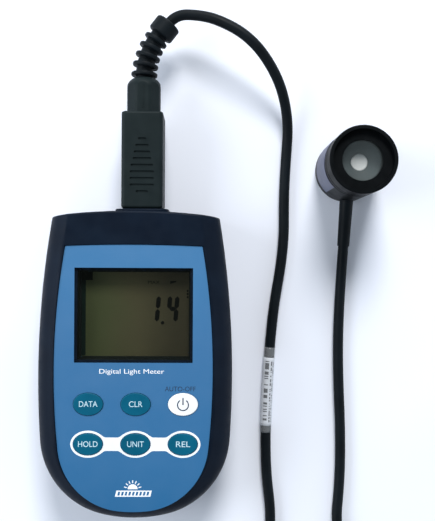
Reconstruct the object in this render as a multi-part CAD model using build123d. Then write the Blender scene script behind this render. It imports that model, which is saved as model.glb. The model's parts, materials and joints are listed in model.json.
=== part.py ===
from build123d import *
import math
import os

# Handheld light meter with a plug-in photometric probe.
# Frame: +Z up out of the display, +Y towards the probe socket, +X to the right of the
# display.  The origin is the middle of the flat back, on the surface the meter lies on.
# All sizes are in millimetres.

# ------------------------------------------------------------------ driving dimensions
# Case outline: two long side arcs, two corner arcs and one end arc, all tangent
CASE_WIDTH = 88.0
CASE_DEPTH = 38.0
SIDE_RADIUS = 430.0
CORNER_RADIUS = 37.0
END_RADIUS = 64.0
WIDEST_Y = -5.0
BOTTOM_Y = -69.25
TOP_Y = 69.25
TOP_RADIUS = 279.0
WALL = 2.2
PARTING_Z = 17.0
BEVEL_ACROSS = 8.4
BEVEL_DOWN = 6.0
BEVEL_ROUND = 12.0
CREASE_ROUND = 3.0
BACK_ROUND = 5.0
TOP_EDGE_ROUND = 1.0

# Keypad overlay in its pocket
PANEL_HALF_WIDTH = 35.3
PANEL_SIDE_RADIUS = 325.0
PANEL_CORNER_RADIUS = 30.5
PANEL_END_RADIUS = 60.0
PANEL_WIDEST_Y = -2.0
PANEL_BOTTOM_Y = -64.0
PANEL_TOP_Y = 54.5
PANEL_TOP_RADIUS = 650.0
POCKET_DEPTH = 1.0
POCKET_GAP = 0.3
OVERLAY_THICKNESS = 0.5

# Display
WINDOW_WIDTH = 52.0
WINDOW_HEIGHT = 41.6
WINDOW_Y = 23.0
WINDOW_THICKNESS = 1.2
WINDOW_LEDGE = 1.0
LCD_STAND = 4.0
LCD_THICKNESS = 2.0
LCD_MARGIN = 1.0
LCD_BORDER = 1.8
FRAME_WALL = 1.4
FRAME_LIP = 1.0
BACKPLATE_THICKNESS = 1.7
ZEBRA_WIDTH = 2.2
ZEBRA_SHORTER = 4.0

# Keys: three across and two down
KEY_PITCH = 20.9
KEYS_X = 1.1
KEY_ROWS_Y = (-16.2, -33.8)
KEY_SIZES = ((13.2, 10.0), (13.0, 9.6))
KEY_NAMES = (("data", "clear", "power"), ("hold", "unit", "relative"))
KEY_PROUD = 0.5
KEY_TRAVEL = 0.4
KEY_EDGE_ROUND = 0.35
KEY_STEM_RADIUS = 2.0
FLANGE_WIDTH = 1.0
FLANGE_THICKNESS = 1.0
DOME_RADIUS = 4.0
DOME_HEIGHT = 0.6

# Main board
BOARD_THICKNESS = 1.6
BOARD_ROOM = 3.95
BOARD_TOP_Y = 50.0
BOARD_INSET = 4.4
BOARD_POST_RADIUS = 2.6
BOARD_POST_CLEARANCE = 1.95
BOARD_POSTS_Y = (40.0, -8.0)
BOARD_SCREW_RADIUS = 1.0
BOARD_SCREW_HEAD_RADIUS = 1.9
BOARD_SCREW_HEAD_HEIGHT = 1.3
BOARD_SCREW_GRIP = 5.0
SCREW_HOLE_SPARE = 2.0
CHIP_THICKNESS = 1.6
CHIPS = ((-8.0, 30.0, 12.0, 12.0), (14.0, 28.0, 9.0, 9.0), (-26.0, 26.0, 5.0, 7.0))
CAPACITORS_X = (-20.0, -14.0)
CAPACITORS_Y = 14.0
CAPACITOR_RADIUS = 2.5
CAPACITOR_HEIGHT = 3.2
COIL_PART_PLACE = (22.0, 12.0)
COIL_PART_RADIUS = 3.0
COIL_PART_HEIGHT = 3.0
CRYSTAL_PLACE = (4.0, 14.0)
CRYSTAL_SIZE = (10.0, 4.0)
CRYSTAL_HEIGHT = 2.8
CRYSTAL_CORNER = 1.9

# Case screws
UPPER_POSTS = (29.0, 58.0)
LOWER_POSTS_Y = -46.0
LOWER_POST_CLEARANCE = 1.35
FRONT_POST_RADIUS = 3.8
REAR_POST_RADIUS = 4.2
CASE_SCREW_RADIUS = 1.25
SCREW_HEAD_RADIUS = 2.6
SCREW_HEAD_HEIGHT = 1.7
SCREW_SEAT_Z = 8.0
SCREW_TIP_Z = 27.0
HEAD_ROUND_SHARE = 0.35
RECESS_LENGTH_SHARE = 1.2
RECESS_WIDTH_SHARE = 0.28
RECESS_DEPTH_SHARE = 0.5
LIP_THICKNESS = 1.0
LIP_DEPTH = 1.5

# Batteries: three AA cells side by side
CELL_RADIUS = 7.25
CELL_LENGTH = 50.5
CELL_GAP = 0.6
CELL_COUNT = 3
CELL_END_Y = 0.6
CELL_NUB_RADIUS = 2.7
CELL_NUB_HEIGHT = 1.4
CELL_EDGE_ROUND = 0.6
CONTACT_THICKNESS = 0.4
CONTACT_SIDE = 11.0
LEAF_RADIUS = 2.4
LEAF_WIDTH = 7.0
BAY_WALL = 1.5
DOOR_THICKNESS = 2.2
DOOR_CORNER = 1.0
DOOR_TAB_WIDTH = 14.0
DOOR_TAB_LENGTH = 7.5
DOOR_TAB_OVERLAP = 1.0
DOOR_TAB_THICKNESS = 1.2
DOOR_GRIP_COUNT = 5
DOOR_GRIP_FIRST = 6.0
DOOR_GRIP_PITCH = 1.6
DOOR_GRIP_WIDTH = 0.8
DOOR_GRIP_LENGTH = 14.0
DOOR_GRIP_DEPTH = 0.4
DOOR_SCREW_RADIUS = 1.2
DOOR_SCREW_HEAD_RADIUS = 2.2
DOOR_SCREW_HEAD_HEIGHT = 0.65
DOOR_SCREW_SEAT_Z = 0.72
INSERT_RADIUS = 2.0
INSERT_LENGTH = 5.0
INSERT_WALL = 1.4
INSERT_COVER = 2.0

# Probe socket in the top end
SOCKET_X = 2.5
SOCKET_Z = 17.0
COLLAR_SIZE = 24.4
COLLAR_CORNER = 5.0
COLLAR_PROUD = 1.5
COLLAR_SUNK = 1.0
COLLAR_EDGE_ROUND = 0.6
PLUG_SHIELD_RADIUS = 7.0
SHIELD_THICKNESS = 0.45
SHIELD_SUNK = 0.3
SOCKET_DEPTH = 7.0
SOCKET_BODY_LENGTH = 8.0
SOCKET_BOARD_MARGIN = (3.95, 1.95)
PIN_RADIUS = 0.5
PIN_CIRCLE = 3.9
PIN_COUNT = 7
PIN_REACH = 4.5
PIN_TAIL = 3.0
PIN_FIT = 0.02

# Probe module plugged into the socket
MODULE_WIDTH = 18.9
MODULE_HEIGHT = 22.0
MODULE_LENGTH = 44.25
MODULE_WALL = 1.8
MODULE_LONG_ROUND = 2.0
MODULE_END_ROUND = 1.2
MODULE_CLEARANCE = 0.25
GRIP_PITCH = 3.0
GRIP_WIDTHS = (3.7, 6.0, 7.4, 8.3, 10.2, 11.0, 11.0, 11.0, 5.5)
GRIP_SLOT = 1.1
GRIP_DEPTH = 0.55
GRIP_FIRST = 12.7
PLUG_TIP_GAP = 0.4
PLUG_BODY_LENGTH = 4.0
CONTACT_WALL = 0.2
CONTACT_RECESS = 0.3
CONTACT_TAIL = 1.5
CONTACT_SPARE = 1.0
MODULE_BOARD_WIDTH = 14.4
MODULE_BOARD_GAPS = (1.7, 1.0)
MODULE_CHIP_SIZE = (5.0, 6.0)
MODULE_CHIP_SHIFT = -2.0

# Cable plug, strain relief and cable
PLUG_WIDTH = 15.3
PLUG_LENGTH = 13.35
PLUG_SHOULDER = 3.5
PLUG_SIDES = 8
PLUG_CORNER_ROUND = 1.2
PLUG_SHOULDER_WIDER = 1.05
PLUG_SHOULDER_BOW = (0.3, 0.5)
PLUG_NECK_RADIUS = 4.85
PLUG_NOSE_RADIUS = 6.0
PLUG_NOSE_LENGTH = 6.0
PLUG_RIDGE_WIDTH = 0.7
PLUG_RIDGE_PROUD = 0.2
PLUG_RIDGE_GAPS = (2.0, 1.0)
RELIEF_RADIUS = 33.3
RELIEF_TURN = 38.0
RELIEF_CORE_RADIUS = 4.0
RIB_RADIUS = 6.1
RIB_TAPER = 0.1
RIB_THICKNESS = 2.0
RIB_ROUND = 0.75
RIB_SPACING = 4.3
RIB_FIRST = 1.9
RIB_COUNT = 5
RELIEF_COLLAR_RADIUS = 6.2
RELIEF_COLLAR_LENGTH = 7.2
RELIEF_COLLAR_ROUND = 1.0
CABLE_DIAMETER = 5.0

# Printed label under a clear sleeve on the cable
SLEEVE_THICKNESS = 0.2
LABEL_THICKNESS = 0.15
SLEEVE_LENGTH = 41.2
LABEL_LENGTH = 32.9
SLEEVE_START = 12.1
LABEL_START = 17.0

# Coil of the put-away cable, tied at one side
COIL_CENTRE = (80.4, -132.0)
COIL_MEAN_RADIUS = 29.0
COIL_TURNS_ACROSS = 3
COIL_TURNS_HIGH = 2
COIL_EDGE_ROUND = 2.0
TIE_THICKNESS = 0.8
TIE_WIDTH = 10.0

# Sensor head, standing on its base with the opening up
HEAD_X = 100.0
HEAD_Y = 91.5
HEAD_RADIUS = 15.0
HEAD_HEIGHT = 46.0
HEAD_WALL = 2.0
HOOD_JOINT_Z = 38.0
HOOD_MOUTH_RADIUS = 13.4
HOOD_LEDGE_Z = 43.0
HOOD_LEDGE_THICKNESS = 0.9
HOOD_HOLE_RADIUS = 9.0
HOOD_SPIGOT = 4.0
HOOD_EDGE_ROUND = 0.5
LENS_RADIUS = 10.5
LENS_THICKNESS = 3.0
LENS_CROWN = 0.5
LENS_RING_HEIGHT = 2.0
LENS_RING_LIP = 1.1
BASE_THICKNESS = 2.5
BASE_SPIGOT = 3.5
BASE_SPIGOT_WALL = 1.5
BASE_EDGE_ROUND = 0.8
DIFFUSER_RADIUS = 3.8
DIFFUSER_THICKNESS = 1.9
DIFFUSER_ROUND = 0.4
FILTER_RADIUS = 5.0
FILTER_THICKNESS = 2.8
DIODE_RADIUS = 4.1
DIODE_HEIGHT = 3.0
HOLDER_TOP_Z = 36.6
HOLDER_CLEARANCE = 0.3
CONE_DEPTH = 1.6
HEAD_BOARD_TOP_Z = 25.6
HEAD_GROOVES_Z = (31.8, 35.2)
HEAD_GROOVE_WIDTH = 0.8
HEAD_GROOVE_DEPTH = 0.5
HEAD_LABEL_LOW_Z = 7.0
HEAD_LABEL_HIGH_Z = 31.0
HEAD_LABEL_FROM = 136.0
HEAD_LABEL_SPAN = 90.0
HEAD_LABEL_THICKNESS = 0.2
BOOT_BIG_RADIUS = 3.3
BOOT_SMALL_RADIUS = 2.9
BOOT_INSIDE = 2.6
BOOT_START = (HEAD_X - 0.77, HEAD_Y - HEAD_RADIUS - 0.12, 7.2)
BOOT_END = (98.3, 54.9, 4.2)

# Small fits
FIT = 0.05
LOOSE_FIT = 0.15
DOOR_GAP = 0.25

# Worked-out levels and stations
POCKET_Z = CASE_DEPTH - POCKET_DEPTH
SKIN_Z = CASE_DEPTH - WALL
OVERLAY_Z = POCKET_Z + OVERLAY_THICKNESS
BAY_HALF_WIDTH = (CELL_COUNT * 2 * CELL_RADIUS + (CELL_COUNT + 1) * CELL_GAP) / 2
BAY_HIGH_Y = CELL_END_Y + CONTACT_THICKNESS
BAY_LOW_Y = CELL_END_Y - CELL_LENGTH - 2 * LEAF_RADIUS - CONTACT_THICKNESS
CELL_Z = DOOR_THICKNESS + DOOR_GAP + CELL_RADIUS
BAY_TOP_Z = CELL_Z + CELL_RADIUS + CELL_GAP
BOARD_Z = BAY_TOP_Z + BAY_WALL + BOARD_ROOM
BOARD_TOP_Z = BOARD_Z + BOARD_THICKNESS
LCD_FACE_Z = BOARD_TOP_Z + LCD_STAND
FRAME_HALF_WIDTH = WINDOW_WIDTH / 2 + LCD_MARGIN + FIT + FRAME_WALL
BOARD_POSTS_X = FRAME_HALF_WIDTH + BOARD_POST_CLEARANCE + BOARD_POST_RADIUS
BOARD_POSTS = [(BOARD_POSTS_X, y) for y in BOARD_POSTS_Y]
LOWER_POSTS_X = BAY_HALF_WIDTH + BAY_WALL + LOWER_POST_CLEARANCE + REAR_POST_RADIUS
CASE_POSTS = (UPPER_POSTS, (LOWER_POSTS_X, LOWER_POSTS_Y))
DOOR_SCREW_Y = BAY_LOW_Y - BAY_WALL - DOOR_TAB_LENGTH / 2 + DOOR_TAB_OVERLAP
COLLAR_Y = TOP_Y + COLLAR_PROUD
SHIELD_BORE = PLUG_SHIELD_RADIUS + FIT
SOCKET_BACK_Y = COLLAR_Y - SOCKET_DEPTH
SOCKET_REAR_Y = SOCKET_BACK_Y - SOCKET_BODY_LENGTH
PLUG_TIP_Y = SOCKET_BACK_Y + PLUG_TIP_GAP
MODULE_Y = COLLAR_Y + MODULE_CLEARANCE
MODULE_END_Y = MODULE_Y + MODULE_LENGTH
PLUG_BODY_END_Y = MODULE_Y + MODULE_WALL + PLUG_BODY_LENGTH
CONTACT_BORE = PIN_RADIUS + FIT
PLUG_END_Y = MODULE_END_Y + PLUG_LENGTH + PLUG_SHOULDER
HOOD_UNDER_Z = HOOD_LEDGE_Z - HOOD_LEDGE_THICKNESS
HEAD_BORE = HEAD_RADIUS - HEAD_WALL
CABLE_RADIUS = CABLE_DIAMETER / 2
SLEEVE_RADIUS = CABLE_RADIUS + LABEL_THICKNESS + SLEEVE_THICKNESS + FIT
LABEL_AXIS_Z = SLEEVE_RADIUS
COIL_BASE_Z = TIE_THICKNESS
COIL_HALF_WIDTH = COIL_TURNS_ACROSS * CABLE_RADIUS
COIL_HEIGHT = COIL_TURNS_HIGH * CABLE_DIAMETER

# Cable route, from the strain relief's collar to the coil
RELIEF_END_S = RELIEF_RADIUS * math.radians(RELIEF_TURN)
ROUTE_TO_METER = [
    (13.992, 158.274, 17.0),
    (17.317, 162.529, 17.0),
    (29.0, 161.5, 19.0),
    (37.5, 158.7, 21.0),
    (49.2, 152.5, 21.5),
    (58.8, 143.4, 19.0),
    (67.3, 130.2, 12.5),
    (71.4, 114.3, 4.6),
    (70.5, 97.8, 2.5),
    (69.5, 80.5, 2.5),
    (69.7, 53.1, 2.7),
    (63.3, 17.6, LABEL_AXIS_Z),
    (60.2, -46.4, LABEL_AXIS_Z),
    (65.2, -83.0, 2.5),
    (56.7, -106.0, 2.6),
    (46.6, -127.3, 3.3),
]
# Cable route, from the boot on the sensor head to the coil
ROUTE_TO_HEAD = [
    BOOT_END,
    (97.78, 42.9, 2.52),
    (96.3, 17.5, 2.5),
    (96.3, -6.8, 2.5),
    (97.7, -36.4, 2.5),
    (97.4, -60.0, 2.5),
    (95.2, -82.3, 2.5),
    (103.3, -106.0, 4.5),
    (114.0, -129.1, 8.3),
]
LABEL_RUN = 11


# ---------------------------------------------------------------------------- helpers
def cylinder_z(radius, low, high, x=0.0, y=0.0):
    """Solid cylinder along Z between two levels."""
    body = Cylinder(radius, high - low, align=(Align.CENTER, Align.CENTER, Align.MIN))
    return Pos(x, y, low) * body


def cylinder_y(radius, start, end, x=SOCKET_X, z=SOCKET_Z):
    """Solid cylinder along Y between two stations."""
    body = Cylinder(radius, end - start, align=(Align.CENTER, Align.CENTER, Align.MIN))
    return Pos(x, start, z) * Rot(-90, 0, 0) * body


def block(low, high):
    """Box from its lowest corner to its highest corner."""
    size = [b - a for a, b in zip(low, high)]
    body = Box(size[0], size[1], size[2], align=(Align.MIN, Align.MIN, Align.MIN))
    return Pos(low[0], low[1], low[2]) * body


def plate(width, height, low, high, x=0.0, y=0.0, corner=0.0):
    """Rectangular plate with optional round corners, centred on x, y."""
    if corner > 0:
        face = RectangleRounded(width, height, corner)
    else:
        face = Rectangle(width, height)
    return Pos(x, y, low) * extrude(face, amount=high - low, dir=(0, 0, 1))


def mirrored(points):
    """Each point and its mirror image across the middle plane."""
    return [(side * x, y) for x, y in points for side in (-1, 1)]


def on_circle(centre, radius, angle):
    """Point of a circle at an angle in radians."""
    return (centre[0] + radius * math.cos(angle), centre[1] + radius * math.sin(angle))


def arc(centre, radius, start, end):
    """Arc of a circle from one angle to another, in radians."""
    points = [on_circle(centre, radius, a) for a in (start, (start + end) / 2, end)]
    return ThreePointArc(*points)


def mirror_edge(edge):
    """Mirror image of an arc across the middle plane."""
    a, m, b = [edge.position_at(t) for t in (1, 0.5, 0)]
    return ThreePointArc((-a.X, a.Y), (-m.X, m.Y), (-b.X, b.Y))


def rounded_end_face(half_width, widest_y, side_r, corner_r, end_r, bottom_y, top_y, inset=0.0):
    """Flat face with long curved sides and a rounded lower end, open-ended upwards to top_y."""
    side_c = (half_width - side_r, widest_y)
    end_c = (0.0, bottom_y + end_r)
    near = side_r - corner_r
    far = end_r - corner_r
    span = math.hypot(end_c[0] - side_c[0], end_c[1] - side_c[1])
    along = (near**2 - far**2 + span**2) / (2 * span)
    across = math.sqrt(near**2 - along**2)
    ux = (end_c[0] - side_c[0]) / span
    uy = (end_c[1] - side_c[1]) / span
    corner_c = (side_c[0] + ux * along + uy * across, side_c[1] + uy * along - ux * across)
    joint_1 = math.atan2(corner_c[1] - side_c[1], corner_c[0] - side_c[0])
    joint_2 = math.atan2(corner_c[1] - end_c[1], corner_c[0] - end_c[0])
    side_r, corner_r, end_r = side_r - inset, corner_r - inset, end_r - inset
    top_angle = math.asin((top_y - side_c[1]) / side_r)
    side = arc(side_c, side_r, top_angle, joint_1)
    corner = arc(corner_c, corner_r, joint_1, joint_2)
    end = arc(end_c, end_r, joint_2, -math.pi - joint_2)
    left_corner = mirror_edge(corner)
    left_side = mirror_edge(side)
    top = Line(left_side.position_at(1), side.position_at(0))
    return Face(Wire([side, corner, end, left_corner, left_side, top]))


def case_face(inset, top_y):
    """Plan outline of the case, moved inwards by inset."""
    return rounded_end_face(
        CASE_WIDTH / 2, WIDEST_Y, SIDE_RADIUS, CORNER_RADIUS, END_RADIUS, BOTTOM_Y, top_y, inset
    )


def panel_face(inset, top_y):
    """Plan outline of the overlay, moved inwards by inset."""
    return rounded_end_face(
        PANEL_HALF_WIDTH,
        PANEL_WIDEST_Y,
        PANEL_SIDE_RADIUS,
        PANEL_CORNER_RADIUS,
        PANEL_END_RADIUS,
        PANEL_BOTTOM_Y,
        top_y,
        inset,
    )


def below_arch(crown_y, radius, low, high):
    """Everything below a shallow arch whose highest point is crown_y."""
    half = CASE_WIDTH
    drop = radius - math.sqrt(radius**2 - half**2)
    floor_y = BOTTOM_Y - CASE_WIDTH
    crown = ThreePointArc((-half, crown_y - drop), (0, crown_y), (half, crown_y - drop))
    right = Line((half, crown_y - drop), (half, floor_y))
    bottom = Line((half, floor_y), (-half, floor_y))
    left = Line((-half, floor_y), (-half, crown_y - drop))
    face = Face(Wire([crown, right, bottom, left]))
    return Pos(0, 0, low) * extrude(face, amount=high - low, dir=(0, 0, 1))


def edges_at(solid, level):
    """Curved edges that lie at one height."""
    near = solid.edges().filter_by_position(Axis.Z, level - 0.01, level + 0.01)
    return [e for e in near if e.geom_type != GeomType.LINE and e.bounding_box().size.Z < 0.01]


def case_solid(inset):
    """The whole case as one solid, moved inwards all over by inset."""
    slope = math.hypot(BEVEL_ACROSS, BEVEL_DOWN)
    across = BEVEL_ACROSS - inset * (1 - (slope - BEVEL_ACROSS) / BEVEL_DOWN)
    down = BEVEL_DOWN - inset * (1 - (slope - BEVEL_DOWN) / BEVEL_ACROSS)
    low, high = inset, CASE_DEPTH - inset
    face = case_face(inset, TOP_Y + WALL)
    body = Pos(0, 0, low) * extrude(face, amount=high - low, dir=(0, 0, 1))
    top_face = body.faces().sort_by(Axis.Z)[-1]
    body = chamfer(edges_at(body, high), across, down, reference=top_face)
    body = fillet(edges_at(body, high - down), BEVEL_ROUND - inset)
    body = fillet(edges_at(body, high), CREASE_ROUND)
    body = fillet(edges_at(body, low), BACK_ROUND - inset)
    return body & below_arch(TOP_Y - inset, TOP_RADIUS - inset, low - 1, high + 1)


def half_space(low, high):
    """Slab wider than the whole case between two levels."""
    side = 4 * CASE_WIDTH
    return plate(side, side, low, high)


def key_places():
    """Name, centre and cap size of each key."""
    for row, y in enumerate(KEY_ROWS_Y):
        for column, name in enumerate(KEY_NAMES[row]):
            yield "key_" + name, KEYS_X + (column - 1) * KEY_PITCH, y, KEY_SIZES[row]


def oval(size, grow, low, high, x, y):
    """Oval plate, grown all round."""
    face = Ellipse(size[0] / 2 + grow, size[1] / 2 + grow)
    return Pos(x, y, low) * extrude(face, amount=high - low, dir=(0, 0, 1))


def socket_hole():
    """Room for the socket shield through the top wall and the collar."""
    radius = PLUG_SHIELD_RADIUS + 2 * FIT + SHIELD_THICKNESS + FIT
    return cylinder_y(radius, TOP_Y - 2 * SOCKET_DEPTH, COLLAR_Y + 1)


def collar_block(grow):
    """Rounded square block that stands in the top wall round the socket."""
    size = COLLAR_SIZE + 2 * grow
    face = RectangleRounded(size, size, COLLAR_CORNER + grow)
    length = COLLAR_PROUD + COLLAR_SUNK
    body = extrude(face, amount=length + grow, dir=(0, 0, 1))
    return Pos(SOCKET_X, TOP_Y - COLLAR_SUNK - grow, SOCKET_Z) * Rot(-90, 0, 0) * body


def window_opening(low, high, grow):
    """Rectangular block the size of the display window, grown all round."""
    return plate(WINDOW_WIDTH + 2 * grow, WINDOW_HEIGHT + 2 * grow, low, high, 0, WINDOW_Y)


# ------------------------------------------------------------------------ meter casing
def make_front_shell(outer, inner):
    """Front half of the case, with the overlay's pocket and the inner posts."""
    shell = outer - inner
    for x, y in mirrored(CASE_POSTS):
        shell += cylinder_z(FRONT_POST_RADIUS, PARTING_Z, SKIN_Z, x, y)
    for x, y in mirrored(BOARD_POSTS):
        shell += cylinder_z(BOARD_POST_RADIUS, BOARD_TOP_Z, SKIN_Z, x, y)
    shell = shell & outer & half_space(PARTING_Z, CASE_DEPTH + 1)
    lip_top = PARTING_Z + 2 * LIP_DEPTH
    lip_low = PARTING_Z - LIP_DEPTH
    root = extrude(case_face(WALL - FIT, TOP_Y + WALL), amount=2 * LIP_DEPTH, dir=(0, 0, 1))
    tongue = extrude(case_face(WALL + FIT, TOP_Y + WALL), amount=LIP_DEPTH, dir=(0, 0, 1))
    hollow = extrude(case_face(WALL + LIP_THICKNESS, TOP_Y + WALL), amount=3 * LIP_DEPTH, dir=(0, 0, 1))
    lip = Pos(0, 0, PARTING_Z) * root + Pos(0, 0, lip_low) * tongue
    lip -= Pos(0, 0, lip_low) * hollow
    lip = lip & below_arch(TOP_Y - WALL - LIP_THICKNESS, TOP_RADIUS, lip_low, lip_top)
    for x, y in mirrored(CASE_POSTS):
        lip -= cylinder_z(REAR_POST_RADIUS + FIT, lip_low - 1, PARTING_Z, x, y)
    shell += lip
    pocket = extrude(panel_face(0, PANEL_TOP_Y + WALL), amount=POCKET_DEPTH, dir=(0, 0, 1))
    pocket = pocket & below_arch(PANEL_TOP_Y, PANEL_TOP_RADIUS, 0, POCKET_DEPTH)
    shell -= Pos(0, 0, POCKET_Z) * pocket
    pane_z = OVERLAY_Z - WINDOW_THICKNESS
    shell -= window_opening(pane_z, CASE_DEPTH, LOOSE_FIT)
    shell -= window_opening(SKIN_Z - 1, pane_z, -WINDOW_LEDGE)
    for _, x, y, size in key_places():
        shell -= oval(size, LOOSE_FIT, SKIN_Z - 1, CASE_DEPTH, x, y)
    for x, y in mirrored(CASE_POSTS):
        shell -= cylinder_z(CASE_SCREW_RADIUS + FIT, PARTING_Z - 1, SCREW_TIP_Z + 1, x, y)
    for x, y in mirrored(BOARD_POSTS):
        hole_top = BOARD_TOP_Z + BOARD_SCREW_GRIP + SCREW_HOLE_SPARE
        shell -= cylinder_z(BOARD_SCREW_RADIUS + FIT, BOARD_TOP_Z - 1, hole_top, x, y)
    shell -= collar_block(FIT)
    return shell - socket_hole()


def make_rear_shell(outer, inner):
    """Rear half of the case, with the battery bay and the screw posts."""
    shell = outer - inner
    for x, y in mirrored(CASE_POSTS):
        shell += cylinder_z(REAR_POST_RADIUS, WALL / 2, PARTING_Z, x, y)
    shell = shell & outer & half_space(-1, PARTING_Z)
    outer_x = BAY_HALF_WIDTH + BAY_WALL
    low_y = BAY_LOW_Y - BAY_WALL
    high_y = BAY_HIGH_Y + BAY_WALL
    shell += block((-outer_x, low_y, WALL / 2), (outer_x, high_y, BAY_TOP_Z + BAY_WALL))
    boss_top = DOOR_TAB_THICKNESS + INSERT_LENGTH + INSERT_COVER
    shell += cylinder_z(INSERT_RADIUS + INSERT_WALL, WALL / 2, boss_top, 0, DOOR_SCREW_Y)
    shell -= block((-BAY_HALF_WIDTH, BAY_LOW_Y, -1), (BAY_HALF_WIDTH, BAY_HIGH_Y, BAY_TOP_Z))
    tab_low = DOOR_SCREW_Y - DOOR_TAB_LENGTH / 2 - DOOR_GAP
    tab_half = DOOR_TAB_WIDTH / 2 + DOOR_GAP
    shell -= block((-tab_half, tab_low, -1), (tab_half, BAY_LOW_Y + 1, DOOR_TAB_THICKNESS + FIT))
    insert_top = DOOR_TAB_THICKNESS + FIT + INSERT_LENGTH + FIT
    shell -= cylinder_z(INSERT_RADIUS + FIT, 0, insert_top, 0, DOOR_SCREW_Y)
    for x, y in mirrored(CASE_POSTS):
        shell -= cylinder_z(SCREW_HEAD_RADIUS + 2 * LOOSE_FIT, -1, SCREW_SEAT_Z, x, y)
        shell -= cylinder_z(CASE_SCREW_RADIUS + LOOSE_FIT, 0, PARTING_Z + 1, x, y)
    shell -= collar_block(FIT)
    return shell - socket_hole()


def make_keypad_overlay():
    """Printed sheet that fills the pocket, cut for the window and the keys."""
    face = panel_face(POCKET_GAP, PANEL_TOP_Y + WALL)
    sheet = extrude(face, amount=OVERLAY_THICKNESS, dir=(0, 0, 1))
    arch = below_arch(PANEL_TOP_Y - POCKET_GAP, PANEL_TOP_RADIUS, -1, WALL)
    sheet = Pos(0, 0, POCKET_Z) * (sheet & arch)
    sheet -= window_opening(POCKET_Z - 1, CASE_DEPTH, LOOSE_FIT)
    for _, x, y, size in key_places():
        sheet -= oval(size, LOOSE_FIT, POCKET_Z - 1, CASE_DEPTH, x, y)
    return sheet


def make_display_window():
    """Clear pane level with the overlay, seated on the shell's ledge."""
    return window_opening(OVERLAY_Z - WINDOW_THICKNESS, OVERLAY_Z, 0)


def make_key(x, y, size):
    """Key cap with its flange under the shell and its stem down to the dome."""
    flange_z = SKIN_Z - 2 * FIT
    cap = oval(size, 0, flange_z - FLANGE_THICKNESS / 2, OVERLAY_Z + KEY_PROUD, x, y)
    rim = cap.edges().filter_by_position(Axis.Z, OVERLAY_Z + KEY_PROUD - FIT, CASE_DEPTH + 2)
    cap = fillet(rim, KEY_EDGE_ROUND)
    key = cap + oval(size, FLANGE_WIDTH, flange_z - FLANGE_THICKNESS, flange_z, x, y)
    stem_z = BOARD_TOP_Z + DOME_HEIGHT + KEY_TRAVEL + FIT
    return key + cylinder_z(KEY_STEM_RADIUS, stem_z, flange_z, x, y)


def make_snap_domes():
    """Six thin metal domes on the board, one under each key."""
    domes = []
    ball = (DOME_RADIUS**2 + DOME_HEIGHT**2) / (2 * DOME_HEIGHT)
    for _, x, y, _ in key_places():
        sphere = Pos(x, y, BOARD_TOP_Z + DOME_HEIGHT - ball) * Sphere(ball)
        domes.append(sphere & cylinder_z(DOME_RADIUS + 1, BOARD_TOP_Z, CASE_DEPTH, x, y))
    return domes


# ------------------------------------------------------------------------------ display
def glass_size(grow):
    """Width and height of the display glass, grown all round."""
    width = WINDOW_WIDTH + 2 * (LCD_MARGIN + grow)
    return width, WINDOW_HEIGHT + 2 * (LCD_MARGIN + grow)


def make_lcd_frame():
    """Dark well between the window and the glass, standing on the board."""
    outer_w, outer_h = glass_size(FIT + FRAME_WALL)
    frame = plate(outer_w, outer_h, BOARD_TOP_Z, SKIN_Z, 0, WINDOW_Y)
    frame -= window_opening(LCD_FACE_Z + FRAME_LIP, SKIN_Z + 1, -WINDOW_LEDGE)
    frame -= window_opening(BOARD_TOP_Z, SKIN_Z + 1, -LCD_BORDER)
    room_w, room_h = glass_size(FIT)
    return frame - plate(room_w, room_h, BOARD_TOP_Z - 1, LCD_FACE_Z, 0, WINDOW_Y)


def make_lcd_glass():
    """Display glass under the well's lip."""
    width, height = glass_size(0)
    return plate(width, height, LCD_FACE_Z - LCD_THICKNESS, LCD_FACE_Z, 0, WINDOW_Y)


def make_lcd_backplate():
    """Reflector behind the display glass, between the two contact strips."""
    width, height = glass_size(0)
    high = LCD_FACE_Z - LCD_THICKNESS
    strip_room = 2 * (ZEBRA_WIDTH + LOOSE_FIT * 2)
    return plate(width, height - strip_room, high - BACKPLATE_THICKNESS, high, 0, WINDOW_Y)


def make_zebra_strips():
    """Two conductive rubber strips from the board to the glass."""
    width, height = glass_size(0)
    offset = (height - ZEBRA_WIDTH) / 2
    high = LCD_FACE_Z - LCD_THICKNESS
    length = width - ZEBRA_SHORTER
    return [plate(length, ZEBRA_WIDTH, BOARD_TOP_Z, high, 0, WINDOW_Y + side * offset) for side in (-1, 1)]


# -------------------------------------------------------------------------- electronics
def make_main_board():
    """Main circuit board, cut round the case posts and drilled for its screws."""
    face = case_face(BOARD_INSET, BOARD_TOP_Y)
    board = Pos(0, 0, BOARD_Z) * extrude(face, amount=BOARD_THICKNESS, dir=(0, 0, 1))
    for x, y in mirrored(CASE_POSTS):
        board -= cylinder_z(FRONT_POST_RADIUS + 4 * LOOSE_FIT, BOARD_Z - 1, BOARD_TOP_Z + 1, x, y)
    for x, y in mirrored(BOARD_POSTS):
        board -= cylinder_z(BOARD_SCREW_RADIUS + FIT, BOARD_Z - 1, BOARD_TOP_Z + 1, x, y)
    return board


def make_board_chips():
    """Processor, display driver and memory chip under the board."""
    return [plate(w, h, BOARD_Z - CHIP_THICKNESS, BOARD_Z, x, y) for x, y, w, h in CHIPS]


def make_board_parts():
    """Crystal, two round capacitors and a coil under the board."""
    low = BOARD_Z - CAPACITOR_HEIGHT
    parts = [cylinder_z(CAPACITOR_RADIUS, low, BOARD_Z, x, CAPACITORS_Y) for x in CAPACITORS_X]
    parts.append(cylinder_z(COIL_PART_RADIUS, BOARD_Z - COIL_PART_HEIGHT, BOARD_Z, *COIL_PART_PLACE))
    parts.append(plate(*CRYSTAL_SIZE, BOARD_Z - CRYSTAL_HEIGHT, BOARD_Z, *CRYSTAL_PLACE, CRYSTAL_CORNER))
    return parts


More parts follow.
